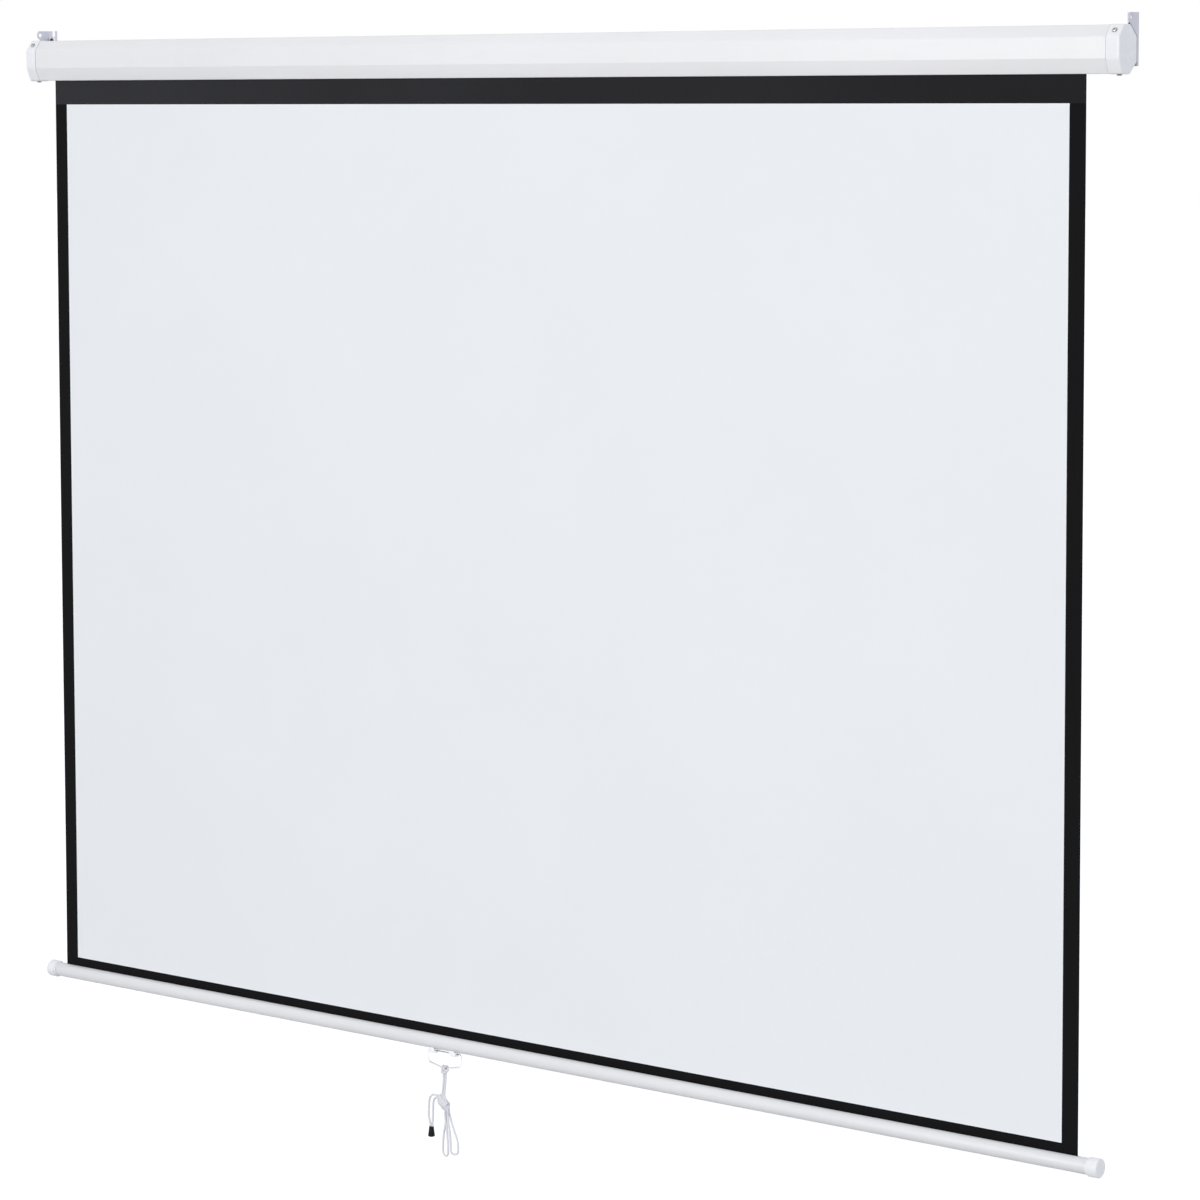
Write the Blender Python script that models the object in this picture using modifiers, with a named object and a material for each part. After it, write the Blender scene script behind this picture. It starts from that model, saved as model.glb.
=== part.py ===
"""Pull down projector screen with a spring roller, a tube weight bar and a pull cord.

Metres, +Z up. The screen faces -Y and hangs on a wall at Y = 0.
The origin is on the wall, midway between the brackets, at the height of their wall notches.
"""
import math

import bmesh
import bpy
from mathutils import Matrix, Vector

# Gap between two pieces that touch on the real object
SEAT_GAP = 0.0003
# Distance that a cutter runs past the face it opens, or a joined block sinks in
OVERRUN = 0.001
MERGE_DISTANCE = 0.00001

# Viewing sheet
VIEW_WIDTH = 2.032
VIEW_HEIGHT = 1.524
SIDE_BORDER = 0.0275
TOP_BORDER = 0.042
BOTTOM_BORDER = 0.015
SHEET_THICKNESS = 0.0005

# Housing: an eight-sided sheet metal case with a slot along its underside
HOUSING_HEIGHT = 0.070
HOUSING_DEPTH = 0.050
HOUSING_WALL = 0.0012
HOUSING_OVERHANG = 0.038
HOUSING_CORNER_RADIUS = 0.003
LIP_CORNER_RADIUS = 0.0010
UPPER_FRONT_CHAMFER = (0.013, 0.017)
LOWER_FRONT_CHAMFER = (0.0095, 0.022)
UPPER_REAR_CHAMFER = (0.018, 0.017)
LOWER_REAR_CHAMFER = (0.019, 0.017)
SLOT_LIP = 0.0012
SLOT_WIDTH = 0.0071
REAR_GAP = 0.008

# End caps
CAP_LENGTH = 0.022
CAP_WALL = 0.003
CAP_PROUD = 0.0008
CAP_EDGE_RADIUS = 0.0018
SPIGOT_LENGTH = 0.012
SPIGOT_WALL = 0.0015
SPIGOT_ROOT = 0.003
LUG_WIDTH = 0.014
LUG_THICKNESS = 0.003
LUG_RISE = 0.0055
LUG_FOOT_DROP = 0.030
LUG_FOOT_HEIGHT = 0.012

# Screws of the end caps and brackets
SCREW_RADIUS = 0.002
SCREW_LENGTH = 0.009
SCREW_HEAD_RADIUS = 0.004
SCREW_HEAD_HEIGHT = 0.0024
SCREW_SOCKET_WIDTH = 0.0012

# Brackets
BRACKET_THICKNESS = 0.002
BRACKET_WIDTH = 0.019
BRACKET_RISE = 0.018
BRACKET_HEIGHT = 0.077
TAB_HEIGHT = 0.015
TAB_LENGTH = 0.032
WALL_HOLE_DROP = 0.0075
HOLE_RADIUS = 0.00375
SIDE_FLANGE_GAP = 0.0007

# Support plates inside the end caps
PLATE_THICKNESS = 0.002
PLATE_INSET = 0.0045
TAB_WIDTH = 0.012
TAB_REACH = 0.0105

# Roller
ROLLER_RADIUS = 0.014
ROLLER_WALL = 0.001
ROLLER_INSET = 0.0265
SHEET_TO_LIP = 0.0009
WRAP_THICKNESS = 0.0008
PLUG_LENGTH = 0.025
PLUG_FLANGE = 0.003

# Spring, fixed shaft and ratchet
ARBOR_RADIUS = 0.004
ARBOR_LENGTH = 0.385
TONGUE_SIDE = 0.0054
TONGUE_END = 0.002
ARBOR_CLEARANCE = 0.0006
ARBOR_HEAD_RADIUS = 0.009
ARBOR_HEAD_LENGTH = 0.010
SPRING_RADIUS = 0.0075
SPRING_WIRE = 0.0009
SPRING_TURNS = 18
SPRING_POINTS_PER_TURN = 10
RATCHET_RADIUS = 0.0075
RATCHET_ROOT = 0.0052
RATCHET_WIDTH = 0.006
RATCHET_TEETH = 4
PAWL_PIVOT_RADIUS = 0.011
PAWL_TIP_RADIUS = 0.0092
PAWL_REACH_ANGLE = math.radians(50)
PAWL_THICKNESS = 0.004
PAWL_EYE_RADIUS = 0.0026
PAWL_ARM_WIDTH = 0.002
PAWL_PIN_RADIUS = 0.0012
PAWL_PIN_CLEARANCE = 0.0003
PAWL_PIN_END = 0.001

# Idle end
IDLE_PIN_RADIUS = 0.003
IDLE_PIN_LENGTH = 0.050
BUSH_RADIUS = 0.0055
BUSH_FLANGE_RADIUS = 0.008
BUSH_FLANGE = 0.0015
BUSH_END = 0.001
IDLE_PIN_END = 0.003

# Weight bar
BAR_RADIUS = 0.0125
BAR_WALL = 0.0012
BAR_OVERHANG = 0.018
BAR_SLOT = 0.0026
BAR_CAP_LENGTH = 0.020
BAR_CAP_PROUD = 0.0021
BAR_CAP_NECK_PROUD = 0.0007
BAR_CAP_SPIGOT = 0.012
BAR_CAP_EDGE = 0.002
BAR_CAP_NECK_LENGTH = 0.004
HEM_ROD_RADIUS = 0.0025

# Pull handle, left of the middle as the photograph shows it
HANDLE_X = -0.163
HANDLE_WIDTH = 0.070
HANDLE_DROP = 0.020
HANDLE_POINT = 0.007
HANDLE_WIRE_RADIUS = 0.0019
HANDLE_CORNER_RADIUS = 0.005
HANDLE_BELOW_BAR = 0.004
HANDLE_POINT_RADIUS = 0.026
CLIP_OFFSET = 0.022
CLIP_WIDTH = 0.012
CLIP_DEPTH = 0.018
CLIP_BELOW_WIRE = 0.0038
CLIP_HUG = 0.00375
CLIP_EDGE = 0.003
CLIP_SCREW_RADIUS = 0.0011
CLIP_SCREW_HEAD = 0.0022
CLIP_SCREW_HEIGHT = 0.0014
CLIP_SCREW_LENGTH = 0.0092
CLIP_SCREW_SETBACK = 0.0057
CLIP_SEAT_DEPTH = 0.0022

# Pull cord: one braided cord folded double, looped on the handle and knotted
CORD_DIAMETER = 0.0036
HITCH_WIDTH = 0.0116
HITCH_DEPTH = 0.0092
HITCH_ABOVE = 0.0044
HITCH_BELOW = 0.0064
HITCH_BORE = 0.0030
HITCH_EDGE = 0.0012
KNOT_DEPTH = 0.013
TIP_TOP_RADIUS = 0.0041
TIP_BOTTOM_RADIUS = 0.0058
TIP_LENGTH = 0.0172
TIP_EDGE = 0.0015
CORD_STEP = 0.0045

# Outer outline of the knot in X and Z, and the cord's routes, in metres from
# the handle wire's lowest point. X runs along the bar and Y away from the viewer.
KNOT_OUTLINE = (
    (-0.0145, -0.0460), (0.0030, -0.0460), (0.0120, -0.0590),
    (0.0120, -0.0690), (-0.0010, -0.0690), (-0.0145, -0.0560),
)
STEM_A = (
    (-0.0020, 0.0, -0.0067), (-0.0020, 0.0, -0.0105), (-0.0024, 0.0, -0.0200),
    (-0.0036, 0.0, -0.0320), (-0.0049, 0.0, -0.0418), (-0.0049, 0.0, -0.0457),
)
STEM_B = (
    (0.0021, 0.0, -0.0067), (0.0021, 0.0, -0.0105), (0.0017, 0.0, -0.0200),
    (0.0005, 0.0, -0.0320), (-0.0008, 0.0, -0.0418), (-0.0008, 0.0, -0.0457),
)
TAIL_A = (
    (-0.0149, 0.0, -0.0480), (-0.0190, 0.0, -0.0479), (-0.0262, 0.0, -0.0484),
    (-0.0318, 0.0, -0.0535), (-0.0339, 0.0, -0.0620), (-0.0349, 0.0, -0.0740),
    (-0.0350, 0.0, -0.0850), (-0.0330, 0.0, -0.0940), (-0.0314, 0.0, -0.0983),
    (-0.0314, 0.0, -0.1022),
)
TAIL_B = (
    (-0.0149, 0.0, -0.0522), (-0.0185, 0.0, -0.0522), (-0.0222, 0.0, -0.0545),
    (-0.0246, 0.0, -0.0595), (-0.0252, 0.0, -0.0665), (-0.0258, 0.0, -0.0790),
    (-0.0266, 0.0, -0.0930), (-0.0272, 0.0, -0.0983), (-0.0272, 0.0, -0.1022),
)
LOOP_A = (
    (0.0018, -0.0021, -0.0693), (0.0018, -0.0021, -0.0735), (0.0036, -0.0028, -0.0850),
    (0.0062, -0.0029, -0.1000), (0.0077, -0.0026, -0.1170), (0.0081, -0.0023, -0.1320),
    (0.0080, -0.0022, -0.1406), (0.0061, -0.0017, -0.1453), (0.0015, -0.0006, -0.1472),
    (-0.0031, 0.0005, -0.1453), (-0.0050, 0.0010, -0.1406), (-0.0052, 0.0011, -0.1320),
    (-0.0045, 0.0014, -0.1170), (-0.0022, 0.0022, -0.1000), (0.0010, 0.0026, -0.0850),
    (0.0024, 0.0021, -0.0735), (0.0024, 0.0021, -0.0693),
)
LOOP_B = (
    (0.0074, -0.0021, -0.0693), (0.0074, -0.0021, -0.0735), (0.0086, -0.0026, -0.0850),
    (0.0106, -0.0014, -0.1000), (0.0118, -0.0005, -0.1160), (0.0121, -0.0001, -0.1280),
    (0.0122, 0.0000, -0.1361), (0.0141, 0.0005, -0.1408), (0.0189, 0.0015, -0.1427),
    (0.0237, 0.0026, -0.1408), (0.0257, 0.0030, -0.1361), (0.0256, 0.0031, -0.1290),
    (0.0243, 0.0032, -0.1205), (0.0205, 0.0032, -0.1105), (0.0158, 0.0032, -0.1000),
    (0.0110, 0.0028, -0.0870), (0.0074, 0.0021, -0.0735), (0.0074, 0.0021, -0.0693),
)
TIP_PLACE = (-0.0293, 0.0, -0.1025)

# Places that follow from the sizes
HOUSING_TOP = WALL_HOLE_DROP - BRACKET_RISE
HOUSING_BOTTOM = HOUSING_TOP - HOUSING_HEIGHT
FRONT_Y = -(REAR_GAP + HOUSING_DEPTH)
SLOT_FRONT = FRONT_Y + LOWER_FRONT_CHAMFER[0] + SLOT_LIP
WRAP_RADIUS = ROLLER_RADIUS + SEAT_GAP + WRAP_THICKNESS
SHEET_Y = SLOT_FRONT + SHEET_TO_LIP + SHEET_THICKNESS / 2
ROLLER_Y = SHEET_Y + SHEET_THICKNESS / 2 + SEAT_GAP + WRAP_RADIUS
ROLLER_Z = HOUSING_TOP - HOUSING_HEIGHT / 2
SHEET_WIDTH = VIEW_WIDTH + 2 * SIDE_BORDER
HOUSING_LENGTH = SHEET_WIDTH + 2 * HOUSING_OVERHANG
ROLLER_LENGTH = HOUSING_LENGTH - 2 * ROLLER_INSET
BAR_LENGTH = SHEET_WIDTH + 2 * BAR_OVERHANG
BAR_CAP_RADIUS = BAR_RADIUS + BAR_CAP_PROUD
BAR_CAP_NECK_RADIUS = BAR_RADIUS + BAR_CAP_NECK_PROUD
BAR_TOP = HOUSING_BOTTOM - TOP_BORDER - VIEW_HEIGHT - BOTTOM_BORDER
BAR_Z = BAR_TOP - BAR_RADIUS
HEM_ROD_Z = BAR_TOP - BAR_WALL - SEAT_GAP - HEM_ROD_RADIUS
SHEET_BOTTOM = HEM_ROD_Z + HEM_ROD_RADIUS + SEAT_GAP
CAP_START = HOUSING_LENGTH / 2
CAP_END = CAP_START + CAP_LENGTH
CAP_MIDDLE = CAP_START + CAP_LENGTH / 2
BRACKET_TOP = HOUSING_TOP + BRACKET_RISE
PLATE_START = CAP_START + PLATE_INSET
PLATE_END = PLATE_START + PLATE_THICKNESS
ROLLER_END = ROLLER_LENGTH / 2
HANDLE_Z = BAR_TOP - 2 * BAR_RADIUS - HANDLE_BELOW_BAR
CORD_ORIGIN = Vector((HANDLE_X, SHEET_Y, HANDLE_Z - HANDLE_DROP - HANDLE_POINT))

FINISHES = {
    "white_enamel": ((0.86, 0.86, 0.88, 1), 0.38, 0.0),
    "white_plastic": ((0.90, 0.90, 0.92, 1), 0.30, 0.0),
    "grey_enamel": ((0.62, 0.63, 0.70, 1), 0.40, 0.2),
    "bright_steel": ((0.70, 0.70, 0.72, 1), 0.22, 1.0),
    "dark_steel": ((0.06, 0.05, 0.05, 1), 0.45, 0.8),
    "raw_steel": ((0.45, 0.45, 0.46, 1), 0.42, 1.0),
    "raw_aluminium": ((0.68, 0.69, 0.71, 1), 0.38, 1.0),
    "black_plastic": ((0.015, 0.013, 0.014, 1), 0.35, 0.0),
    "sheet_cloth": ((0.80, 0.83, 0.87, 1), 0.85, 0.0),
    "white_cord": ((0.82, 0.82, 0.87, 1), 0.80, 0.0),
}


def clear_scene():
    """Remove every object of the open file."""
    for thing in list(bpy.data.objects):
        bpy.data.objects.remove(thing, do_unlink=True)


def make_collection(name):
    """Add an empty collection to the scene."""
    collection = bpy.data.collections.new(name)
    bpy.context.scene.collection.children.link(collection)
    return collection


def make_material(name, finish):
    """Make one piece's Principled material from a named finish."""
    colour, roughness, metallic = FINISHES[finish]
    material = bpy.data.materials.new(name)
    material.use_nodes = True
    shader = material.node_tree.nodes["Principled BSDF"]
    shader.inputs["Base Color"].default_value = colour
    shader.inputs["Roughness"].default_value = roughness
    shader.inputs["Metallic"].default_value = metallic
    return material


clear_scene()
PIECES = make_collection("pull_down_projector_screen")
CUTTERS = make_collection("cutters")


def add_piece(name, data, finish, smooth_angle=None):
    """Put a mesh or curve in the model as a named piece with its own material."""
    piece = bpy.data.objects.new(name, data)
    data.materials.append(make_material(name + "_finish", finish))
    if smooth_angle is not None:
        data.shade_smooth()
        data.set_sharp_from_angle(angle=math.radians(smooth_angle))
    PIECES.objects.link(piece)
    return piece


def add_cutter(name, data):
    """Put a mesh among the hidden cutters."""
    cutter = bpy.data.objects.new(name, data)
    cutter.hide_render = True
    cutter.display_type = "WIRE"
    CUTTERS.objects.link(cutter)
    return cutter


def boolean(piece, tool, operation):
    """Cut a tool out of a piece, or join it on."""
    step = piece.modifiers.new(tool.name, "BOOLEAN")
    step.operation = operation
    step.solver = "EXACT"
    step.object = tool


def mesh_of(name, shape):
    """Turn a finished bmesh into mesh data with its faces pointing out."""
    bmesh.ops.recalc_face_normals(shape, faces=shape.faces)
    data = bpy.data.meshes.new(name)
    shape.to_mesh(data)
    shape.free()
    return data


def box_mesh(name, low, high, edge=0.0):
    """Make a box between two corners, with its edges rounded if asked."""
    shape = bmesh.new()
    bmesh.ops.create_cube(shape, size=1.0)
    size = Vector(high) - Vector(low)
    bmesh.ops.scale(shape, vec=size, verts=shape.verts)
    bmesh.ops.translate(shape, vec=(Vector(low) + Vector(high)) / 2, verts=shape.verts)
    if edge > 0:
        bmesh.ops.bevel(shape, geom=shape.edges[:], offset=edge, segments=2,
                        profile=0.5, affect="EDGES")
    return mesh_of(name, shape)


def rod_mesh(name, start, end, radius, sides=24):
    """Make a round rod between two points."""
    start, end = Vector(start), Vector(end)
    shape = bmesh.new()
    bmesh.ops.create_cone(shape, cap_ends=True, segments=sides, radius1=radius,
                          radius2=radius, depth=(end - start).length)
    turn = Vector((0, 0, 1)).rotation_difference(end - start).to_matrix().to_4x4()
    place = Matrix.Translation((start + end) / 2) @ turn
    bmesh.ops.transform(shape, matrix=place, verts=shape.verts)
    return mesh_of(name, shape)


def prism_mesh(name, outline, start, end, axis="X", round_end=0.0):
    """Extrude a flat outline along X, or along Y, and round the edge of its far end."""
    shape = bmesh.new()
    if axis == "X":
        corners = [shape.verts.new((start, a, b)) for a, b in outline]
        travel = Vector((end - start, 0, 0))
    else:
        corners = [shape.verts.new((a, start, b)) for a, b in outline]
        travel = Vector((0, end - start, 0))
    face = shape.faces.new(corners)
    grown = bmesh.ops.extrude_face_region(shape, geom=[face])
    moved = [item for item in grown["geom"] if isinstance(item, bmesh.types.BMVert)]
    bmesh.ops.translate(shape, vec=travel, verts=moved)
    if round_end > 0:
        rim = [edge for edge in shape.edges if all(vert in moved for vert in edge.verts)]
        bmesh.ops.bevel(shape, geom=rim, offset=round_end, segments=3, profile=0.5,
                        affect="EDGES")
    return mesh_of(name, shape)


def turned_piece(name, profile, start, direction, finish, place=None, steps=32):
    """Turn a profile of (radius, distance) about an axis along X.

    The profile runs from its far end to its near end on the outside.
    Distance is measured from start, in the direction +1 or -1 along X.
    """
    data = bpy.data.meshes.new(name)
    points = [(radius, 0, distance) for radius, distance in profile]
    last = len(points) - 1
    edges = [(index, index + 1) for index in range(last)]
    if profile[0][0] > 0:
        edges.append((last, 0))
    data.from_pydata(points, edges, [])
    piece = add_piece(name, data, finish)
    y, z = place if place else (ROLLER_Y, ROLLER_Z)
    piece.location = (start, y, z)
    piece.rotation_euler = (0, direction * math.pi / 2, 0)
    turn = piece.modifiers.new("turn", "SCREW")
    turn.steps = steps
    turn.render_steps = steps
    turn.use_merge_vertices = True
    turn.merge_threshold = MERGE_DISTANCE
    turn.use_smooth_shade = False
    return piece


def wire_piece(name, points, radius, finish, sides_setting=2, closed=False):
    """Sweep a round section along points, as a curve with filled caps."""
    data = bpy.data.curves.new(name, "CURVE")
    data.dimensions = "3D"
    data.bevel_depth = radius
    data.bevel_resolution = sides_setting
    data.use_fill_caps = not closed
    spline = data.splines.new("POLY")
    spline.points.add(len(points) - 1)
    for target, point in zip(spline.points, points):
        target.co = (point[0], point[1], point[2], 1)
    spline.use_cyclic_u = closed
    return add_piece(name, data, finish)


def rounded_path(points, radii, closed):
    """Replace each corner of a flat path by a short arc of its own radius."""
    count = len(points)
    path = []
    for index, corner in enumerate(points):
        end_point = not closed and index in (0, count - 1)
        if end_point or radii[index] == 0:
            path.append(tuple(corner))
            continue
        here = Vector(corner)
        back = (Vector(points[index - 1]) - here).normalized()
        ahead = (Vector(points[(index + 1) % count]) - here).normalized()
        half = back.angle(ahead) / 2
        reach = radii[index] / math.tan(half)
        centre = here + (back + ahead).normalized() * radii[index] / math.sin(half)
        start = here + back * reach - centre
        sweep = math.pi - 2 * half
        side = 1 if start.cross(here + ahead * reach - centre) > 0 else -1
        for step in range(4):
            angle = side * sweep * step / 3
            turned = Matrix.Rotation(angle, 2) @ start
            path.append(tuple(centre + turned))
    return path


def housing_corners(grow=0.0):
    """Give the eight corners of the housing's outline, grown outward by a distance."""
    front, back = FRONT_Y, FRONT_Y + HOUSING_DEPTH
    top, bottom = HOUSING_TOP, HOUSING_BOTTOM
    corners = [
        (front + LOWER_FRONT_CHAMFER[0], bottom),
        (back - LOWER_REAR_CHAMFER[0], bottom),
        (back, bottom + LOWER_REAR_CHAMFER[1]),
        (back, top - UPPER_REAR_CHAMFER[1]),
        (back - UPPER_REAR_CHAMFER[0], top),
        (front + UPPER_FRONT_CHAMFER[0], top),
        (front, top - UPPER_FRONT_CHAMFER[1]),
        (front, bottom + LOWER_FRONT_CHAMFER[1]),
    ]
    if grow == 0:
        return corners
    moved = []
    for index, corner in enumerate(corners):
        here = Vector(corner)
        before = (here - Vector(corners[index - 1])).normalized()
        after = (Vector(corners[(index + 1) % len(corners)]) - here).normalized()
        normal_before = Vector((before.y, -before.x))
        normal_after = Vector((after.y, -after.x))
        bisector = (normal_before + normal_after).normalized()
        moved.append(tuple(here + bisector * grow / bisector.dot(normal_before)))
    return moved


def housing_outline(grow=0.0):
    """Give the housing's closed outline with rounded corners."""
    radius = max(HOUSING_CORNER_RADIUS + grow, LIP_CORNER_RADIUS)
    corners = housing_corners(grow)
    return rounded_path(corners, [radius] * len(corners), closed=True)


def smooth_route(points, step):
    """Read points at an even step from a smooth curve through hand-chosen points."""
    anchors = [Vector(point) for point in points]
    anchors = [2 * anchors[0] - anchors[1]] + anchors + [2 * anchors[-1] - anchors[-2]]
    dense = []
    for index in range(1, len(anchors) - 2):
        a, b, c, d = anchors[index - 1:index + 3]
        for part in range(20):
            t = part / 20
            dense.append(0.5 * (2 * b + (c - a) * t + (2 * a - 5 * b + 4 * c - d) * t ** 2
                                + (3 * b - a - 3 * c + d) * t ** 3))
    dense.append(anchors[-2])
    lengths = [0.0]
    for before, after in zip(dense, dense[1:]):
        lengths.append(lengths[-1] + (after - before).length)
    count = max(2, round(lengths[-1] / step))
    route = []
    place = 0
    for index in range(count + 1):
        wanted = lengths[-1] * index / count
        while place < len(lengths) - 2 and lengths[place + 1] < wanted:
            place += 1
        span = lengths[place + 1] - lengths[place]
        share = (wanted - lengths[place]) / span
        route.append(dense[place].lerp(dense[place + 1], share))
    return route


def least_gap(points, diameter, skip):
    """Give the least clear distance between stretches of one tube, read on its points."""
    gap = math.inf
    for first in range(len(points)):
        for second in range(first + skip, len(points)):
            apart = (Vector(points[first]) - Vector(points[second])).length - diameter
            gap = min(gap, apart)
    return gap


def chamfer_place():
    """Give the middle of the end cap's upper front chamfer and its outward direction."""
    corners = housing_corners(CAP_PROUD)
    low, high = Vector(corners[6]), Vector(corners[5])
    along = (high - low).normalized()
    outward = Vector((-along.y, along.x))
    return (low + high) / 2, outward


def underside_place():
    """Give the middle of the end cap's underside and its outward direction."""
    corners = housing_corners(CAP_PROUD)
    return (Vector(corners[0]) + Vector(corners[1])) / 2, Vector((0, -1))


def build_housing():
    """Fold the housing from one sheet that leaves the fabric slot open."""
    corners = housing_corners()
    slot_rear = SLOT_FRONT + SLOT_WIDTH
    bottom = corners[0][1]
    points = [(slot_rear, bottom)] + corners[1:] + [corners[0], (SLOT_FRONT, bottom)]
    radii = [HOUSING_CORNER_RADIUS] * len(points)
    radii[-2] = LIP_CORNER_RADIUS
    path = rounded_path(points, radii, closed=False)
    half = HOUSING_LENGTH / 2 - SEAT_GAP
    shape = bmesh.new()
    row = [shape.verts.new((-half, y, z)) for y, z in path]
    edges = [shape.edges.new(pair) for pair in zip(row, row[1:])]
    grown = bmesh.ops.extrude_edge_only(shape, edges=edges)
    moved = [item for item in grown["geom"] if isinstance(item, bmesh.types.BMVert)]
    bmesh.ops.translate(shape, vec=(2 * half, 0, 0), verts=moved)
    piece = add_piece("housing_shell", mesh_of("housing_shell", shape), "white_enamel", 20)
    wall = piece.modifiers.new("wall", "SOLIDIFY")
    wall.thickness = HOUSING_WALL
    wall.offset = -1
    wall.use_even_offset = True


def screw_piece(name, head_centre, outward, length, finish, radius=SCREW_RADIUS,
                head_radius=SCREW_HEAD_RADIUS, head_height=SCREW_HEAD_HEIGHT):
    """Make a pan head screw whose head stands on a surface point."""
    data = bpy.data.meshes.new(name)
    under = SEAT_GAP
    profile = [
        (0, under + head_height),
        (head_radius * 0.62, under + head_height * 0.88),
        (head_radius * 0.92, under + head_height * 0.45),
        (head_radius, under),
        (radius, under),
        (radius, -length),
        (0, -length),
    ]
    data.from_pydata([(r, 0, h) for r, h in profile],
                     [(index, index + 1) for index in range(len(profile) - 1)], [])
    piece = add_piece(name, data, finish)
    piece.location = head_centre
    piece.rotation_mode = "QUATERNION"
    piece.rotation_quaternion = Vector((0, 0, 1)).rotation_difference(Vector(outward))
    turn = piece.modifiers.new("turn", "SCREW")
    turn.steps = 16
    turn.render_steps = 16
    turn.use_merge_vertices = True
    turn.merge_threshold = MERGE_DISTANCE
    slot_half = SCREW_SOCKET_WIDTH / 2 * radius / SCREW_RADIUS
    slot_reach = head_radius * 0.55
    for index, (a, b) in enumerate(((slot_reach, slot_half), (slot_half, slot_reach))):
        low = (-a, -b, under + head_height * 0.5)
        high = (a, b, under + head_height * 1.5)
        arm = add_cutter(f"{name}_recess_{index}", box_mesh(f"{name}_recess_{index}", low, high))
        arm.matrix_world = piece.matrix_basis.copy()
        boolean(piece, arm, "DIFFERENCE")
    return piece


def build_end_cap(side, label):
    """Make an eight-sided cup with a spigot, two screw holes and a rear hanging lug."""
    outline = housing_outline(CAP_PROUD)
    piece = add_piece(f"end_cap_{label}",
                      prism_mesh(f"end_cap_{label}", outline, side * CAP_START,
                                 side * CAP_END, round_end=CAP_EDGE_RADIUS),
                      "white_plastic", 25)
    pocket_outline = housing_outline(CAP_PROUD - CAP_WALL)
    pocket = prism_mesh("pocket", pocket_outline, side * (CAP_START - OVERRUN),
                        side * (CAP_END - CAP_WALL))
    boolean(piece, add_cutter(f"pocket_{label}", pocket), "DIFFERENCE")

    spigot_grow = -HOUSING_WALL - SEAT_GAP
    spigot = add_cutter(f"spigot_{label}", prism_mesh(
        "spigot", housing_outline(spigot_grow),
        side * (CAP_START - SPIGOT_LENGTH), side * (CAP_START + SPIGOT_ROOT)))
    bore = add_cutter(f"spigot_bore_{label}", prism_mesh(
        "spigot_bore", housing_outline(spigot_grow - SPIGOT_WALL),
        side * (CAP_START - SPIGOT_LENGTH - OVERRUN),
        side * (CAP_START + SPIGOT_ROOT + OVERRUN)))
    boolean(spigot, bore, "DIFFERENCE")
    boolean(piece, spigot, "UNION")

    lug_rear = -BRACKET_THICKNESS - SEAT_GAP
    lug_front = lug_rear - LUG_THICKNESS
    lug_low = HOUSING_TOP - LUG_FOOT_DROP
    inner = side * (CAP_MIDDLE - LUG_WIDTH / 2)
    outer = side * (CAP_MIDDLE + LUG_WIDTH / 2)
    left, right = min(inner, outer), max(inner, outer)
    lug = box_mesh("lug", (left, lug_front, lug_low), (right, lug_rear, HOUSING_TOP + LUG_RISE))
    foot = box_mesh("foot", (left, -REAR_GAP - CAP_WALL / 2, lug_low),
                    (right, lug_rear - OVERRUN / 2, lug_low + LUG_FOOT_HEIGHT))
    boolean(piece, add_cutter(f"lug_{label}", lug), "UNION")
    boolean(piece, add_cutter(f"lug_foot_{label}", foot), "UNION")

    hole_radius = SCREW_RADIUS + SEAT_GAP
    x = side * CAP_MIDDLE
    for name, place in (("upper", chamfer_place()), ("lower", underside_place())):
        surface, outward = place
        start = surface + outward * OVERRUN
        end = surface - outward * (CAP_WALL + OVERRUN)
        hole = rod_mesh("hole", (x, start.x, start.y), (x, end.x, end.y), hole_radius, 16)
        boolean(piece, add_cutter(f"cap_hole_{name}_{label}", hole), "DIFFERENCE")
        screw_piece(f"cap_screw_{name}_{label}", (x, surface.x, surface.y),
                    (0, outward.x, outward.y), SCREW_LENGTH, "bright_steel")
    screw_z = HOUSING_TOP + LUG_RISE - SCREW_HEAD_RADIUS
    hole = rod_mesh("hole", (x, lug_front - OVERRUN, screw_z), (x, OVERRUN, screw_z),
                    hole_radius, 16)
    boolean(piece, add_cutter(f"lug_hole_{label}", hole), "DIFFERENCE")


def build_support_plate(side, label, bore_mesh):
    """Make the metal plate inside an end cap, with a screwed tab at the front and below."""
    grow = CAP_PROUD - CAP_WALL - SEAT_GAP
    piece = add_piece(f"support_plate_{label}",
                      prism_mesh(f"support_plate_{label}", housing_outline(grow),
                                 side * PLATE_START, side * PLATE_END), "raw_steel")
    x = side * CAP_MIDDLE
    for name, place in (("upper", chamfer_place()), ("lower", underside_place())):
        surface, outward = place
        across = Vector((-outward.y, outward.x))
        outer_face = surface - outward * (CAP_WALL + 2 * SEAT_GAP)
        inner_face = outer_face - outward * PLATE_THICKNESS
        half = across * TAB_WIDTH / 2
        outline = [tuple(point) for point in (outer_face - half, outer_face + half,
                                              inner_face + half, inner_face - half)]
        tab = prism_mesh("tab", outline, side * (PLATE_END - OVERRUN),
                         side * (PLATE_END + TAB_REACH))
        boolean(piece, add_cutter(f"plate_tab_{name}_{label}", tab), "UNION")
        start = surface + outward * OVERRUN
        end = surface - outward * (CAP_WALL + 2 * PLATE_THICKNESS)
        hole = rod_mesh("hole", (x, start.x, start.y), (x, end.x, end.y),
                        SCREW_RADIUS + SEAT_GAP, 16)
        boolean(piece, add_cutter(f"plate_hole_{name}_{label}", hole), "DIFFERENCE")
    boolean(piece, add_cutter(f"plate_bore_{label}", bore_mesh), "DIFFERENCE")


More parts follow.
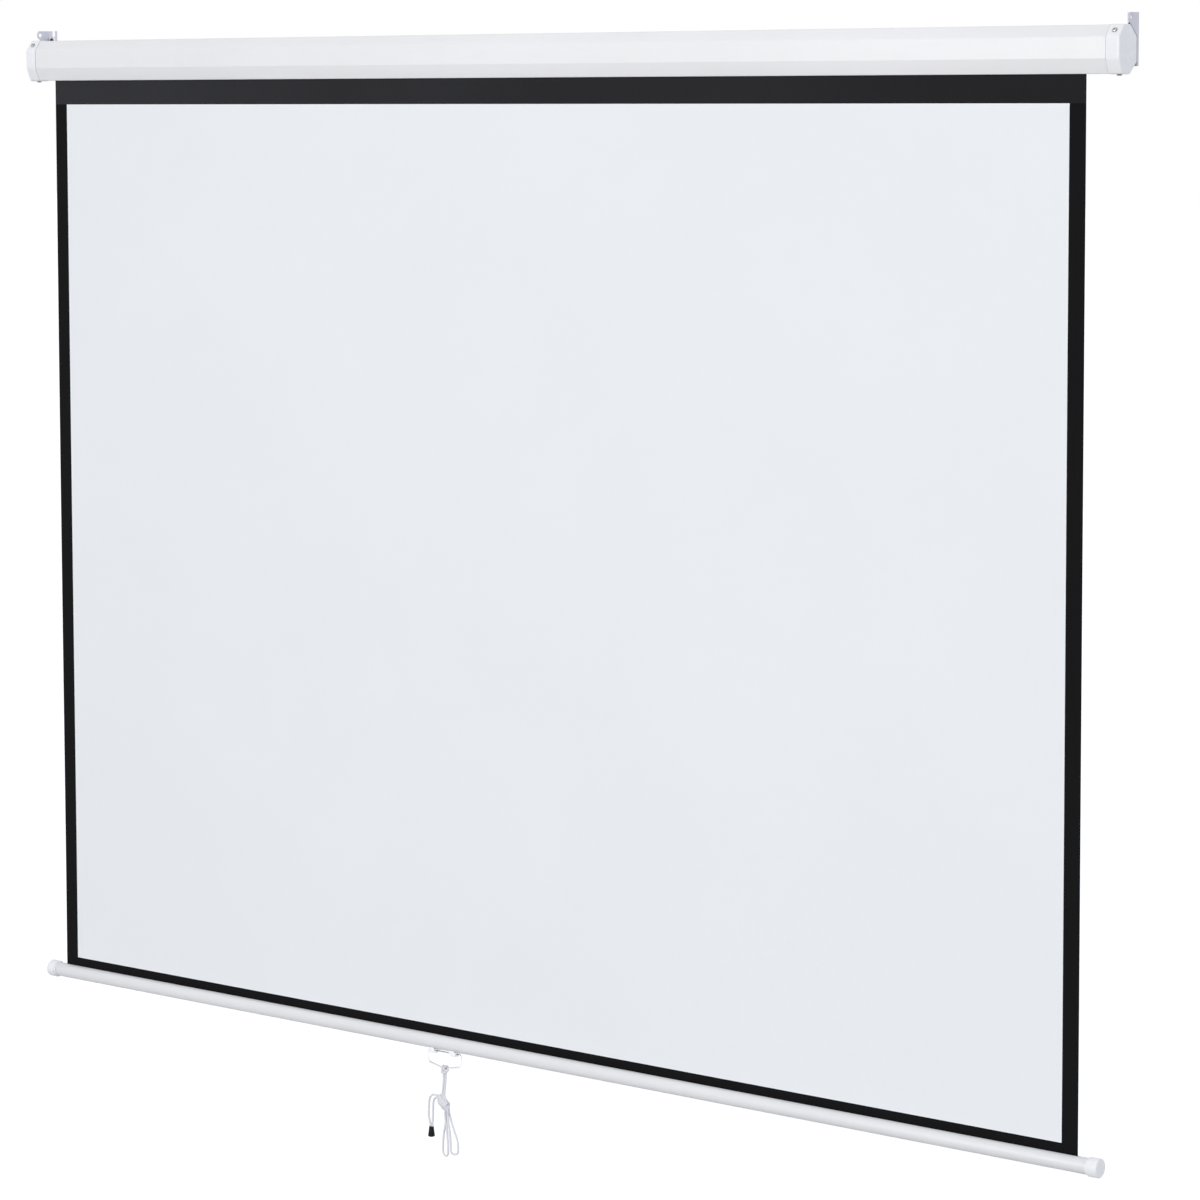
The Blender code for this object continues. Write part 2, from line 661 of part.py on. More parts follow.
def build_bracket(side, label):
    """Make an L-shaped bracket: a wall flange and a side flange with a hanging tab."""
    outer, inner = side * CAP_END, side * (CAP_END - BRACKET_WIDTH)
    low, top = BRACKET_TOP - BRACKET_HEIGHT, BRACKET_TOP
    wall_flange = box_mesh(f"mount_bracket_{label}",
                           (min(outer, inner), -BRACKET_THICKNESS, low),
                           (max(outer, inner), 0, top))
    piece = add_piece(f"mount_bracket_{label}", wall_flange, "grey_enamel")
    corners = housing_corners(CAP_PROUD + SIDE_FLANGE_GAP)
    shallow = corners[3][0]
    tab_low = top - TAB_HEIGHT
    rounding = TAB_HEIGHT / 2
    outline = [(-BRACKET_THICKNESS / 4, low), (shallow, low), corners[3]]
    centre_y = -TAB_LENGTH + rounding
    for step in range(13):
        angle = -math.pi / 2 - math.pi * step / 12
        y = centre_y + rounding * math.cos(angle)
        if angle < -math.pi or y < corners[4][0]:
            outline.append((y, tab_low + rounding + rounding * math.sin(angle)))
    outline.append((-BRACKET_THICKNESS / 4, top))
    flange = prism_mesh("side_flange", outline, outer, outer - side * BRACKET_THICKNESS)
    boolean(piece, add_cutter(f"side_flange_{label}", flange), "UNION")
    reach = side * 2 * BRACKET_THICKNESS
    hanging = rod_mesh("hole", (outer - reach, centre_y, tab_low + rounding),
                       (outer + reach, centre_y, tab_low + rounding), HOLE_RADIUS)
    boolean(piece, add_cutter(f"hanging_hole_{label}", hanging), "DIFFERENCE")
    x = side * CAP_MIDDLE
    reach = 2 * BRACKET_THICKNESS
    wall_hole = rod_mesh("hole", (x, -reach, 0), (x, reach, 0), HOLE_RADIUS)
    boolean(piece, add_cutter(f"wall_hole_{label}", wall_hole), "DIFFERENCE")
    notch = box_mesh("notch", (x - HOLE_RADIUS, -reach, 0), (x + HOLE_RADIUS, reach, top + reach))
    boolean(piece, add_cutter(f"wall_notch_{label}", notch), "DIFFERENCE")
    screw_z = HOUSING_TOP + LUG_RISE - SCREW_HEAD_RADIUS
    thread = rod_mesh("hole", (x, -reach, screw_z), (x, reach, screw_z),
                      SCREW_RADIUS + SEAT_GAP, 16)
    boolean(piece, add_cutter(f"bracket_hole_{label}", thread), "DIFFERENCE")
    lug_front = -BRACKET_THICKNESS - SEAT_GAP - LUG_THICKNESS
    screw_piece(f"bracket_screw_{label}", (x, lug_front, screw_z), (0, -1, 0),
                -lug_front - SEAT_GAP, "dark_steel")


def build_spring_end():
    """Make the fixed shaft, its spring and the ratchet that the pawls catch."""
    tongue = TONGUE_SIDE / 2 + SEAT_GAP
    opening = box_mesh("tongue_hole", (-PLATE_END - OVERRUN, ROLLER_Y - tongue, ROLLER_Z - tongue),
                       (-PLATE_START + OVERRUN, ROLLER_Y + tongue, ROLLER_Z + tongue))
    build_support_plate(-1, "left", opening)

    start = -PLATE_START + SEAT_GAP
    end = start + ARBOR_LENGTH
    arbor = add_piece("spring_arbor", rod_mesh("spring_arbor", (start, ROLLER_Y, ROLLER_Z),
                                               (end, ROLLER_Y, ROLLER_Z), ARBOR_RADIUS),
                      "raw_steel", 40)
    side = TONGUE_SIDE / 2
    blade = box_mesh("tongue", (-PLATE_END - TONGUE_END, ROLLER_Y - side, ROLLER_Z - side),
                     (start + 2 * OVERRUN, ROLLER_Y + side, ROLLER_Z + side))
    boolean(arbor, add_cutter("arbor_tongue", blade), "UNION")

    bore = ARBOR_RADIUS + SEAT_GAP
    turned_piece("spring_anchor",
                 [(ARBOR_HEAD_RADIUS, ARBOR_HEAD_LENGTH), (ARBOR_HEAD_RADIUS, 0), (bore, 0),
                  (bore, ARBOR_HEAD_LENGTH)], end - ARBOR_HEAD_LENGTH, 1, "raw_steel", steps=24)

    first = -ROLLER_END + PLUG_LENGTH + SEAT_GAP + SPRING_WIRE
    last = end - ARBOR_HEAD_LENGTH - SEAT_GAP - SPRING_WIRE
    count = SPRING_TURNS * SPRING_POINTS_PER_TURN
    points = []
    for index in range(count + 1):
        angle = 2 * math.pi * index / SPRING_POINTS_PER_TURN
        points.append((first + (last - first) * index / count,
                       ROLLER_Y + SPRING_RADIUS * math.cos(angle),
                       ROLLER_Z + SPRING_RADIUS * math.sin(angle)))
    wire_piece("torsion_spring", points, SPRING_WIRE, "raw_steel", sides_setting=1)
    print("torsion_spring least gap mm",
          round(1000 * least_gap(points, 2 * SPRING_WIRE, SPRING_POINTS_PER_TURN // 2), 2))

    teeth = []
    pitch = 2 * math.pi / RATCHET_TEETH
    for tooth in range(RATCHET_TEETH):
        notch = PAWL_REACH_ANGLE + tooth * pitch
        for share in (0.19, 0.29, 0.39, 0.50):
            teeth.append((RATCHET_RADIUS, notch + pitch * share))
        for share in (0.84, 1.00, 1.17):
            teeth.append((RATCHET_ROOT, notch + pitch * share))
    outline = [(ROLLER_Y + radius * math.cos(angle), ROLLER_Z + radius * math.sin(angle))
               for radius, angle in teeth]
    wheel_start = -ROLLER_END - 2 * SEAT_GAP - PLUG_FLANGE - SEAT_GAP
    wheel = add_piece("ratchet_wheel", prism_mesh("ratchet_wheel", outline, wheel_start,
                                                  wheel_start - RATCHET_WIDTH), "raw_steel")
    hub = rod_mesh("hole", (wheel_start + OVERRUN, ROLLER_Y, ROLLER_Z),
                   (wheel_start - RATCHET_WIDTH - OVERRUN, ROLLER_Y, ROLLER_Z), bore)
    boolean(wheel, add_cutter("ratchet_bore", hub), "DIFFERENCE")
    return wheel_start


def build_roller(wheel_start):
    """Make the roller tube, its end plugs, the wound fabric and the two pawls."""
    inner = ROLLER_RADIUS - ROLLER_WALL
    turned_piece("roller_tube", [(ROLLER_RADIUS, ROLLER_LENGTH), (ROLLER_RADIUS, 0), (inner, 0),
                                 (inner, ROLLER_LENGTH)], -ROLLER_END, 1, "raw_aluminium")
    turned_piece("fabric_roll",
                 [(WRAP_RADIUS, SHEET_WIDTH), (WRAP_RADIUS, 0),
                  (ROLLER_RADIUS + SEAT_GAP, 0), (ROLLER_RADIUS + SEAT_GAP, SHEET_WIDTH)],
                 -SHEET_WIDTH / 2, 1, "sheet_cloth")
    for side, label, bore in ((-1, "left", ARBOR_RADIUS + ARBOR_CLEARANCE),
                              (1, "right", IDLE_PIN_RADIUS + SEAT_GAP)):
        spigot = inner - SEAT_GAP
        flange_start = PLUG_LENGTH + SEAT_GAP
        profile = [(ROLLER_RADIUS, flange_start + PLUG_FLANGE), (ROLLER_RADIUS, flange_start),
                   (spigot, flange_start), (spigot, 0), (bore, 0),
                   (bore, flange_start + PLUG_FLANGE)]
        plug = turned_piece(f"roller_plug_{label}", profile,
                            side * (ROLLER_END - PLUG_LENGTH), side, "white_plastic")
        if side < 0:
            for index in range(2):
                pivot = pawl_pivot(index)
                hole = rod_mesh("hole", (-ROLLER_END + OVERRUN, *pivot),
                                (-ROLLER_END - 2 * PLUG_FLANGE, *pivot),
                                PAWL_PIN_RADIUS + PAWL_PIN_CLEARANCE, 12)
                boolean(plug, add_cutter(f"pin_hole_{index}", hole), "DIFFERENCE")
    for index, label in enumerate("ab"):
        build_pawl(index, label, wheel_start)


def pawl_pivot(index):
    """Give a pawl's pivot in Y and Z."""
    angle = index * math.pi
    return (ROLLER_Y + PAWL_PIVOT_RADIUS * math.cos(angle),
            ROLLER_Z + PAWL_PIVOT_RADIUS * math.sin(angle))


def build_pawl(index, label, wheel_start):
    """Make one pawl on its pin, lifted just clear of the ratchet wheel."""
    pivot = Vector(pawl_pivot(index))
    angle = index * math.pi + PAWL_REACH_ANGLE
    tip = Vector((ROLLER_Y + PAWL_TIP_RADIUS * math.cos(angle),
                  ROLLER_Z + PAWL_TIP_RADIUS * math.sin(angle)))
    along = (tip - pivot).normalized()
    across = Vector((-along.y, along.x))
    half = PAWL_ARM_WIDTH / 2
    start = wheel_start - (RATCHET_WIDTH - PAWL_THICKNESS) / 2
    arm_outline = [pivot - across * half, tip - across * half, tip + along * half,
                   tip + across * half, pivot + across * half]
    arm_outline = [tuple(point - pivot) for point in arm_outline]
    piece = add_piece(f"pawl_{label}", rod_mesh(f"pawl_{label}", (0, 0, 0),
                                                (-PAWL_THICKNESS, 0, 0), PAWL_EYE_RADIUS, 16),
                      "raw_steel")
    piece.location = (start, pivot.x, pivot.y)
    arm = add_cutter(f"pawl_arm_{label}", prism_mesh("arm", arm_outline, 0, -PAWL_THICKNESS))
    arm.location = piece.location
    boolean(piece, arm, "UNION")
    eye = add_cutter(f"pawl_eye_{label}", rod_mesh("hole", (OVERRUN, 0, 0), (-2 * PAWL_THICKNESS, 0, 0),
                                                   PAWL_PIN_RADIUS + PAWL_PIN_CLEARANCE, 12))
    eye.location = piece.location
    boolean(piece, eye, "DIFFERENCE")
    pin_end = start - PAWL_THICKNESS - PAWL_PIN_END
    add_piece(f"pawl_pin_{label}", rod_mesh(f"pawl_pin_{label}",
                                            (-ROLLER_END - 2 * SEAT_GAP, *pivot),
                                            (pin_end, *pivot), PAWL_PIN_RADIUS, 12),
              "bright_steel", 40)


def build_idle_end():
    """Make the right plate's bush and the pin that the roller turns on."""
    hole = rod_mesh("hole", (PLATE_START - OVERRUN, ROLLER_Y, ROLLER_Z),
                    (PLATE_END + OVERRUN, ROLLER_Y, ROLLER_Z), BUSH_RADIUS + SEAT_GAP)
    build_support_plate(1, "right", hole)
    bore = IDLE_PIN_RADIUS + SEAT_GAP
    neck = BUSH_FLANGE + SEAT_GAP
    length = neck + PLATE_THICKNESS + BUSH_END
    turned_piece("idle_bush", [(BUSH_RADIUS, length), (BUSH_RADIUS, BUSH_FLANGE),
                               (BUSH_FLANGE_RADIUS, BUSH_FLANGE), (BUSH_FLANGE_RADIUS, 0),
                               (bore, 0), (bore, length)], PLATE_START - neck, 1,
                 "black_plastic", steps=24)
    pin_end = PLATE_END + IDLE_PIN_END
    add_piece("idle_pin", rod_mesh("idle_pin", (pin_end - IDLE_PIN_LENGTH, ROLLER_Y, ROLLER_Z),
                                   (pin_end, ROLLER_Y, ROLLER_Z), IDLE_PIN_RADIUS),
              "bright_steel", 40)


def build_sheet():
    """Make the flat sheet from the roller's front down into the weight bar's slot."""
    half = SHEET_WIDTH / 2
    thick = SHEET_THICKNESS / 2
    add_piece("screen_sheet", box_mesh("screen_sheet", (-half, SHEET_Y - thick, SHEET_BOTTOM),
                                       (half, SHEET_Y + thick, ROLLER_Z)), "sheet_cloth")


def build_weight_bar():
    """Make the slotted tube, the rod that holds the hem in it, and its end caps."""
    half_slot = math.asin(BAR_SLOT / 2 / BAR_RADIUS)
    half = BAR_LENGTH / 2
    shape = bmesh.new()
    steps = 31
    row = []
    for step in range(steps + 1):
        angle = math.pi / 2 + half_slot + (2 * math.pi - 2 * half_slot) * step / steps
        row.append(shape.verts.new((-half, SHEET_Y + BAR_RADIUS * math.cos(angle),
                                    BAR_Z + BAR_RADIUS * math.sin(angle))))
    edges = [shape.edges.new(pair) for pair in zip(row, row[1:])]
    grown = bmesh.ops.extrude_edge_only(shape, edges=edges)
    moved = [item for item in grown["geom"] if isinstance(item, bmesh.types.BMVert)]
    bmesh.ops.translate(shape, vec=(2 * half, 0, 0), verts=moved)
    piece = add_piece("weight_bar", mesh_of("weight_bar", shape), "white_enamel", 30)
    wall = piece.modifiers.new("wall", "SOLIDIFY")
    wall.thickness = BAR_WALL
    wall.offset = -1
    wall.use_even_offset = True

    rod_end = half - BAR_CAP_SPIGOT - SEAT_GAP
    add_piece("hem_rod", rod_mesh("hem_rod", (-rod_end, SHEET_Y, HEM_ROD_Z),
                                  (rod_end, SHEET_Y, HEM_ROD_Z), HEM_ROD_RADIUS, 16),
              "white_plastic", 40)
    spigot = BAR_RADIUS - BAR_WALL - SEAT_GAP
    near, far = BAR_CAP_SPIGOT, BAR_CAP_SPIGOT + BAR_CAP_LENGTH
    rim = BAR_CAP_EDGE
    shoulder = near + BAR_CAP_NECK_LENGTH
    profile = [(0, far), (BAR_CAP_RADIUS - rim, far), (BAR_CAP_RADIUS - 0.3 * rim, far - 0.3 * rim),
               (BAR_CAP_RADIUS, far - rim), (BAR_CAP_RADIUS, shoulder + 1.5 * rim),
               (BAR_CAP_RADIUS - 0.2 * rim, shoulder + rim), (BAR_CAP_NECK_RADIUS, shoulder),
               (BAR_CAP_NECK_RADIUS, near), (spigot, near), (spigot, 0), (0, 0)]
    for side, label in ((-1, "left"), (1, "right")):
        turned_piece(f"bar_cap_{label}", profile, side * (half + SEAT_GAP - BAR_CAP_SPIGOT),
                     side, "white_plastic", place=(SHEET_Y, BAR_Z))


def handle_route():
    """Give the handle wire's closed route: a wide low loop with a shallow point below."""
    half = HANDLE_WIDTH / 2
    low = -HANDLE_DROP
    lean = HANDLE_POINT / half
    rise = HANDLE_POINT_RADIUS * (1 / math.cos(math.atan(lean)) - 1)
    corners = [(-half, 0), (-half, low), (0, low - HANDLE_POINT - rise), (half, low), (half, 0)]
    radii = [HANDLE_CORNER_RADIUS] * 2 + [HANDLE_POINT_RADIUS] + [HANDLE_CORNER_RADIUS] * 2
    path = rounded_path(corners, radii, closed=True)
    return [(HANDLE_X + x, SHEET_Y, HANDLE_Z + z) for x, z in path]


def build_handle():
    """Make the wire handle and the two saddle clips that hang it under the bar."""
    wire_piece("handle_bail", handle_route(), HANDLE_WIRE_RADIUS, "bright_steel", closed=True)
    for side, label in ((-1, "left"), (1, "right")):
        x = HANDLE_X + side * CLIP_OFFSET
        low = (x - CLIP_WIDTH / 2, SHEET_Y - CLIP_DEPTH / 2, HANDLE_Z - CLIP_BELOW_WIRE)
        high = (x + CLIP_WIDTH / 2, SHEET_Y + CLIP_DEPTH / 2, BAR_TOP - 2 * BAR_RADIUS + CLIP_HUG)
        shape = bmesh.new()
        shape.from_mesh(box_mesh("clip", low, high))
        under = [edge for edge in shape.edges
                 if all(abs(vert.co.z - low[2]) < MERGE_DISTANCE for vert in edge.verts)
                 and abs(edge.verts[0].co.x - edge.verts[1].co.x) > CLIP_WIDTH / 2]
        bmesh.ops.bevel(shape, geom=under, offset=CLIP_EDGE, segments=3, profile=0.5,
                        affect="EDGES")
        piece = add_piece(f"handle_clip_{label}", mesh_of("clip", shape), "bright_steel")
        y = SHEET_Y + CLIP_SCREW_SETBACK
        seat_z = low[2] + CLIP_SEAT_DEPTH
        hole = rod_mesh("hole", (x, y, seat_z - OVERRUN),
                        (x, y, seat_z + CLIP_SCREW_LENGTH + OVERRUN),
                        CLIP_SCREW_RADIUS + SEAT_GAP, 12)
        hole = add_cutter(f"clip_hole_{label}", hole)
        boolean(piece, hole, "DIFFERENCE")
        boolean(bpy.data.objects["weight_bar"], hole, "DIFFERENCE")
        seat = rod_mesh("seat", (x, y, low[2] - OVERRUN), (x, y, seat_z),
                        CLIP_SCREW_HEAD + SEAT_GAP, 16)
        boolean(piece, add_cutter(f"clip_seat_{label}", seat), "DIFFERENCE")
        reach = CLIP_WIDTH
        saddle = rod_mesh("saddle", (x - reach, SHEET_Y, BAR_Z), (x + reach, SHEET_Y, BAR_Z),
                          BAR_RADIUS + SEAT_GAP, 48)
        boolean(piece, add_cutter(f"clip_saddle_{label}", saddle), "DIFFERENCE")
        eye = rod_mesh("hole", (x - reach, SHEET_Y, HANDLE_Z), (x + reach, SHEET_Y, HANDLE_Z),
                       HANDLE_WIRE_RADIUS + SEAT_GAP, 20)
        boolean(piece, add_cutter(f"clip_eye_{label}", eye), "DIFFERENCE")
        screw_piece(f"clip_screw_{label}", (x, y, seat_z), (0, 0, -1), CLIP_SCREW_LENGTH,
                    "bright_steel", CLIP_SCREW_RADIUS, CLIP_SCREW_HEAD, CLIP_SCREW_HEIGHT)


def build_cord():
    """Make the folded cord's hitch, stretches, knot and the tip that both ends enter."""
    centre = CORD_ORIGIN
    hitch = add_piece("cord_hitch", box_mesh(
        "cord_hitch", centre + Vector((-HITCH_WIDTH / 2, -HITCH_DEPTH / 2, -HITCH_BELOW)),
        centre + Vector((HITCH_WIDTH / 2, HITCH_DEPTH / 2, HITCH_ABOVE)), edge=HITCH_EDGE),
        "white_cord")
    bore = rod_mesh("hole", centre - Vector((0.01, 0, 0)), centre + Vector((0.01, 0, 0)),
                    HITCH_BORE)
    boolean(hitch, add_cutter("hitch_bore", bore), "DIFFERENCE")
    routes = {"cord_stem_a": STEM_A, "cord_stem_b": STEM_B, "cord_tail_a": TAIL_A,
              "cord_tail_b": TAIL_B, "cord_loop_a": LOOP_A, "cord_loop_b": LOOP_B}
    for name, points in routes.items():
        route = [centre + point for point in smooth_route(points, CORD_STEP)]
        wire_piece(name, route, CORD_DIAMETER / 2, "white_cord")
        if "loop" in name:
            inner = route[4:-4]
            print(name, "least gap mm", round(1000 * least_gap(inner, CORD_DIAMETER, 6), 2))
    outline = [(centre.x + x, centre.z + z) for x, z in KNOT_OUTLINE]
    add_piece("cord_knot", prism_mesh("cord_knot", outline, centre.y - KNOT_DEPTH / 2,
                                      centre.y + KNOT_DEPTH / 2, axis="Y"), "white_cord")
    data = bpy.data.meshes.new("cord_tip")
    profile = [(0, 0), (TIP_TOP_RADIUS, 0), (TIP_BOTTOM_RADIUS, TIP_EDGE - TIP_LENGTH),
               (TIP_BOTTOM_RADIUS - TIP_EDGE, -TIP_LENGTH), (0, -TIP_LENGTH)]
    data.from_pydata([(r, 0, h) for r, h in profile],
                     [(index, index + 1) for index in range(len(profile) - 1)], [])
    tip = add_piece("cord_tip", data, "black_plastic")
    tip.location = centre + Vector(TIP_PLACE)
    turn = tip.modifiers.new("turn", "SCREW")
    turn.steps = 24
    turn.render_steps = 24
    turn.use_merge_vertices = True
    turn.merge_threshold = MERGE_DISTANCE


build_housing()
for cap_side, cap_label in ((-1, "left"), (1, "right")):
    build_end_cap(cap_side, cap_label)
    build_bracket(cap_side, cap_label)
build_roller(build_spring_end())
build_idle_end()
build_sheet()
build_weight_bar()
build_handle()
build_cord()
print(len(PIECES.objects), "pieces")
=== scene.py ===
# %% [markdown]
# # A pull down projector screen
#
# The real object is a long white metal case that hangs on a wall. A cloth screen comes down out
# of a slot in its underside, kept straight by a round bar, and it is pulled by a wire handle
# with a cord on it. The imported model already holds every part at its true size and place, with
# its joints. This lesson loads that model and gives each part that is seen a finer shape and a
# real finish. Everything is in metres. X runs along the screen, Z is up, and the wall is at Y 0,
# so the viewer stands on the side where Y is negative.

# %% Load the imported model
import math

import bmesh
import bpy
from mathutils import Matrix, Vector


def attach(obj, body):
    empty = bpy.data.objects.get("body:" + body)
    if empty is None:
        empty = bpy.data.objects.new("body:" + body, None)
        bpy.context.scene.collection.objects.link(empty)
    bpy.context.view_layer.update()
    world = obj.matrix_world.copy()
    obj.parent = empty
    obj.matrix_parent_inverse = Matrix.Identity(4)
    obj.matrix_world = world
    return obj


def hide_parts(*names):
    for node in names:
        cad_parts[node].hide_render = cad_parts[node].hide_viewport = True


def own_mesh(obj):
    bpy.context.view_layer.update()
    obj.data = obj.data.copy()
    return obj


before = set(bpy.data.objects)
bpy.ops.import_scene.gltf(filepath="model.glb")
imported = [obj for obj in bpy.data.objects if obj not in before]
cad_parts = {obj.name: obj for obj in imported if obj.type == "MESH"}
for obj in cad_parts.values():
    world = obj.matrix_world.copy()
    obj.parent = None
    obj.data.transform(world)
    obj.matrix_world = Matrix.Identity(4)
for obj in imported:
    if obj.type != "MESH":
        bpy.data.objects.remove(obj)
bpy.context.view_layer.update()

# %% [markdown]
# ## The camera
#
# A photograph can be matched by moving a camera until a known rectangle lands on the same
# pixels. Here the rectangle is the white viewing area, 2.032 m wide and 1.524 m high. The lens
# shift raises or lowers the picture without tilting the camera, as a view camera does, which
# keeps upright edges upright. The camera is written as three angles and a place, so that it
# can be read and changed.

# %% Camera
VIEW_PLACE = Vector((3.82572, -4.83557, -0.1151))
VIEW_YAW = 0.65312
VIEW_PITCH = -0.07994
VIEW_ROLL = -0.00214
LENS = 114.56
LENS_SHIFT = (0.00132, -0.16244)
SENSOR_WIDTH = 36
NEAR_AND_FAR = (0.05, 200)


def add_object(name, data):
    """Put the data of a camera, a lamp or a mesh into the scene as an object."""
    made = bpy.data.objects.new(name, data)
    bpy.context.scene.collection.objects.link(made)
    return made


def make_camera():
    """Point a camera along the photograph's line of sight."""
    forward = Vector((-math.sin(VIEW_YAW) * math.cos(VIEW_PITCH),
                      math.cos(VIEW_YAW) * math.cos(VIEW_PITCH), math.sin(VIEW_PITCH)))
    right = Vector((math.cos(VIEW_YAW), math.sin(VIEW_YAW), 0))
    up = right.cross(forward)
    tilted_right = math.cos(VIEW_ROLL) * right + math.sin(VIEW_ROLL) * up
    tilted_up = math.cos(VIEW_ROLL) * up - math.sin(VIEW_ROLL) * right
    data = bpy.data.cameras.new("viewer")
    data.lens = LENS
    data.sensor_width = SENSOR_WIDTH
    data.shift_x, data.shift_y = LENS_SHIFT
    data.clip_start, data.clip_end = NEAR_AND_FAR
    camera = add_object("viewer", data)
    turn = Matrix((tilted_right, tilted_up, -forward)).transposed().to_4x4()
    camera.matrix_world = Matrix.Translation(VIEW_PLACE) @ turn
    bpy.context.scene.camera = camera


make_camera()
print("camera stands", round(VIEW_PLACE.length, 2), "m from the middle of the wall line")

# %% [markdown]
# ## Tools for shaping meshes
#
# A tube along a bent line could be a curve with a round bevel. Here it is a flat grid that is
# rolled up round the line, for one reason: the grid operator makes a UV map at the same time,
# so a braid can later run along the cord wherever it bends. To roll it without a twist, one
# side direction is carried from point to point and only straightened against the line.

# %% Lines
MERGE_DISTANCE = 1e-6
FULL_TURN = 2 * math.pi
SPAN_PARTS = 24
ARC_PARTS = 24
SIDES = ((-1, "left"), (1, "right"))


def even_line(points, step):
    """Give points at an even step on a smooth curve through given points."""
    anchors = [Vector(point) for point in points]
    anchors = [2 * anchors[0] - anchors[1]] + anchors + [2 * anchors[-1] - anchors[-2]]
    dense = []
    for index in range(1, len(anchors) - 2):
        a, b, c, d = anchors[index - 1:index + 3]
        for part in range(SPAN_PARTS):
            t = part / SPAN_PARTS
            dense.append(0.5 * (2 * b + (c - a) * t + (2 * a - 5 * b + 4 * c - d) * t ** 2
                                + (3 * b - a - 3 * c + d) * t ** 3))
    dense.append(anchors[-2])
    lengths = [0.0]
    for before, after in zip(dense, dense[1:]):
        lengths.append(lengths[-1] + (after - before).length)
    count = max(2, round(lengths[-1] / step))
    line, place = [], 0
    for index in range(count + 1):
        wanted = lengths[-1] * index / count
        while place < len(lengths) - 2 and lengths[place + 1] < wanted:
            place += 1
        share = (wanted - lengths[place]) / (lengths[place + 1] - lengths[place])
        line.append(dense[place].lerp(dense[place + 1], share))
    return line


def line_length(line):
    """Add up the steps of a line."""
    return sum((after - before).length for before, after in zip(line, line[1:]))


def rounded_path(points, radii, closed, parts=8):
    """Give a flat outline whose corners are arcs, each of its own radius."""
    path = []
    count = len(points)
    for index, (point, radius) in enumerate(zip(points, radii)):
        here = Vector(point)
        if radius == 0 or (not closed and index in (0, count - 1)):
            path.append(tuple(here))
            continue
        before = (Vector(points[index - 1]) - here).normalized()
        after = (Vector(points[(index + 1) % count]) - here).normalized()
        half = before.angle(after) / 2
        middle = here + (before + after).normalized() * radius / math.sin(half)
        first = here + before * radius / math.tan(half) - middle
        last = here + after * radius / math.tan(half) - middle
        for part in range(parts + 1):
            path.append(tuple(middle + radius * first.slerp(last, part / parts)))
    return path


def arc(centre, radius, start, sweep, parts):
    """Give the points of an arc on a flat drawing, both its ends included."""
    angles = [start + sweep * part / parts for part in range(parts + 1)]
    return [(centre[0] + radius * math.cos(angle), centre[1] + radius * math.sin(angle))
            for angle in angles]


def circle(centre, radius, parts):
    """Give the points of a circle on a flat drawing."""
    return arc(centre, radius, 0, FULL_TURN, parts)[:-1]


# %% Tubes
def side_directions(line, closed):
    """Carry one side direction along a line and keep it square to the line."""
    count = len(line)
    places, side = [], None
    for index, point in enumerate(line):
        if closed:
            along = line[(index + 1) % (count - 1)] - line[(index - 1) % (count - 1)]
        else:
            along = line[min(index + 1, count - 1)] - line[max(index - 1, 0)]
        along.normalize()
        if side is None:
            spare = Vector((0, 1, 0)) if abs(along.y) < 0.9 else Vector((1, 0, 0))
            side = along.cross(spare)
        side = (side - along * side.dot(along)).normalized()
        places.append((point, side.copy(), along.cross(side)))
    return places


def tube(line, radius, sides=24, closed=False, swell=None):
    """Roll a flat grid round a line. Its UV map counts once round and in girths along."""
    shape = bmesh.new()
    cloth = shape.loops.layers.uv.new("along")
    rows = len(line) - 1
    bmesh.ops.create_grid(shape, x_segments=sides, y_segments=rows, size=1, calc_uvs=True)
    girths = line_length(line) / (FULL_TURN * radius)
    for face in shape.faces:
        for loop in face.loops:
            loop[cloth].uv = (loop[cloth].uv.x, loop[cloth].uv.y * girths)
    places = side_directions(line, closed)
    for vert in shape.verts:
        around = (vert.co.x + 1) / 2
        row = round((vert.co.y + 1) / 2 * rows)
        reach = radius + (swell(around, girths * row / rows) if swell else 0)
        centre, side, up = places[row]
        angle = FULL_TURN * around
        vert.co = centre + reach * (math.cos(angle) * side + math.sin(angle) * up)
    bmesh.ops.remove_doubles(shape, verts=shape.verts, dist=MERGE_DISTANCE)
    rims = [edge for edge in shape.edges if edge.is_boundary]
    if rims:
        bmesh.ops.holes_fill(shape, edges=rims, sides=0)
    bmesh.ops.recalc_face_normals(shape, faces=shape.faces)
    return shape


def standing(place, outward):
    """Give the move that stands a shape on a place, with its Z axis along a direction."""
    turn = Vector((0, 0, 1)).rotation_difference(Vector(outward)).to_matrix().to_4x4()
    return Matrix.Translation(place) @ turn


def turned(profile, place, outward, steps=64):
    """Spin a profile of radius and height round an axis that stands on a place."""
    shape = bmesh.new()
    verts = [shape.verts.new((radius, 0, height)) for radius, height in profile]
    edges = [shape.edges.new(pair) for pair in zip(verts, verts[1:])]
    bmesh.ops.spin(shape, geom=verts + edges, cent=(0, 0, 0), axis=(0, 0, 1),
                   angle=FULL_TURN, steps=steps, use_merge=True)
    bmesh.ops.remove_doubles(shape, verts=shape.verts, dist=MERGE_DISTANCE)
    bmesh.ops.recalc_face_normals(shape, faces=shape.faces)
    bmesh.ops.transform(shape, matrix=standing(place, outward), verts=shape.verts)
    return shape


# %% From a shape to a piece
def mesh_of(name, shape):
    """Write a shape down as mesh data and let the shape go."""
    data = bpy.data.meshes.new(name)
    shape.to_mesh(data)
    shape.free()
    return data


def joined(shapes):
    """Put several shapes into one."""
    whole = bmesh.new()
    for shape in shapes:
        data = mesh_of("part", shape)
        whole.from_mesh(data)
        bpy.data.meshes.remove(data)
    return whole


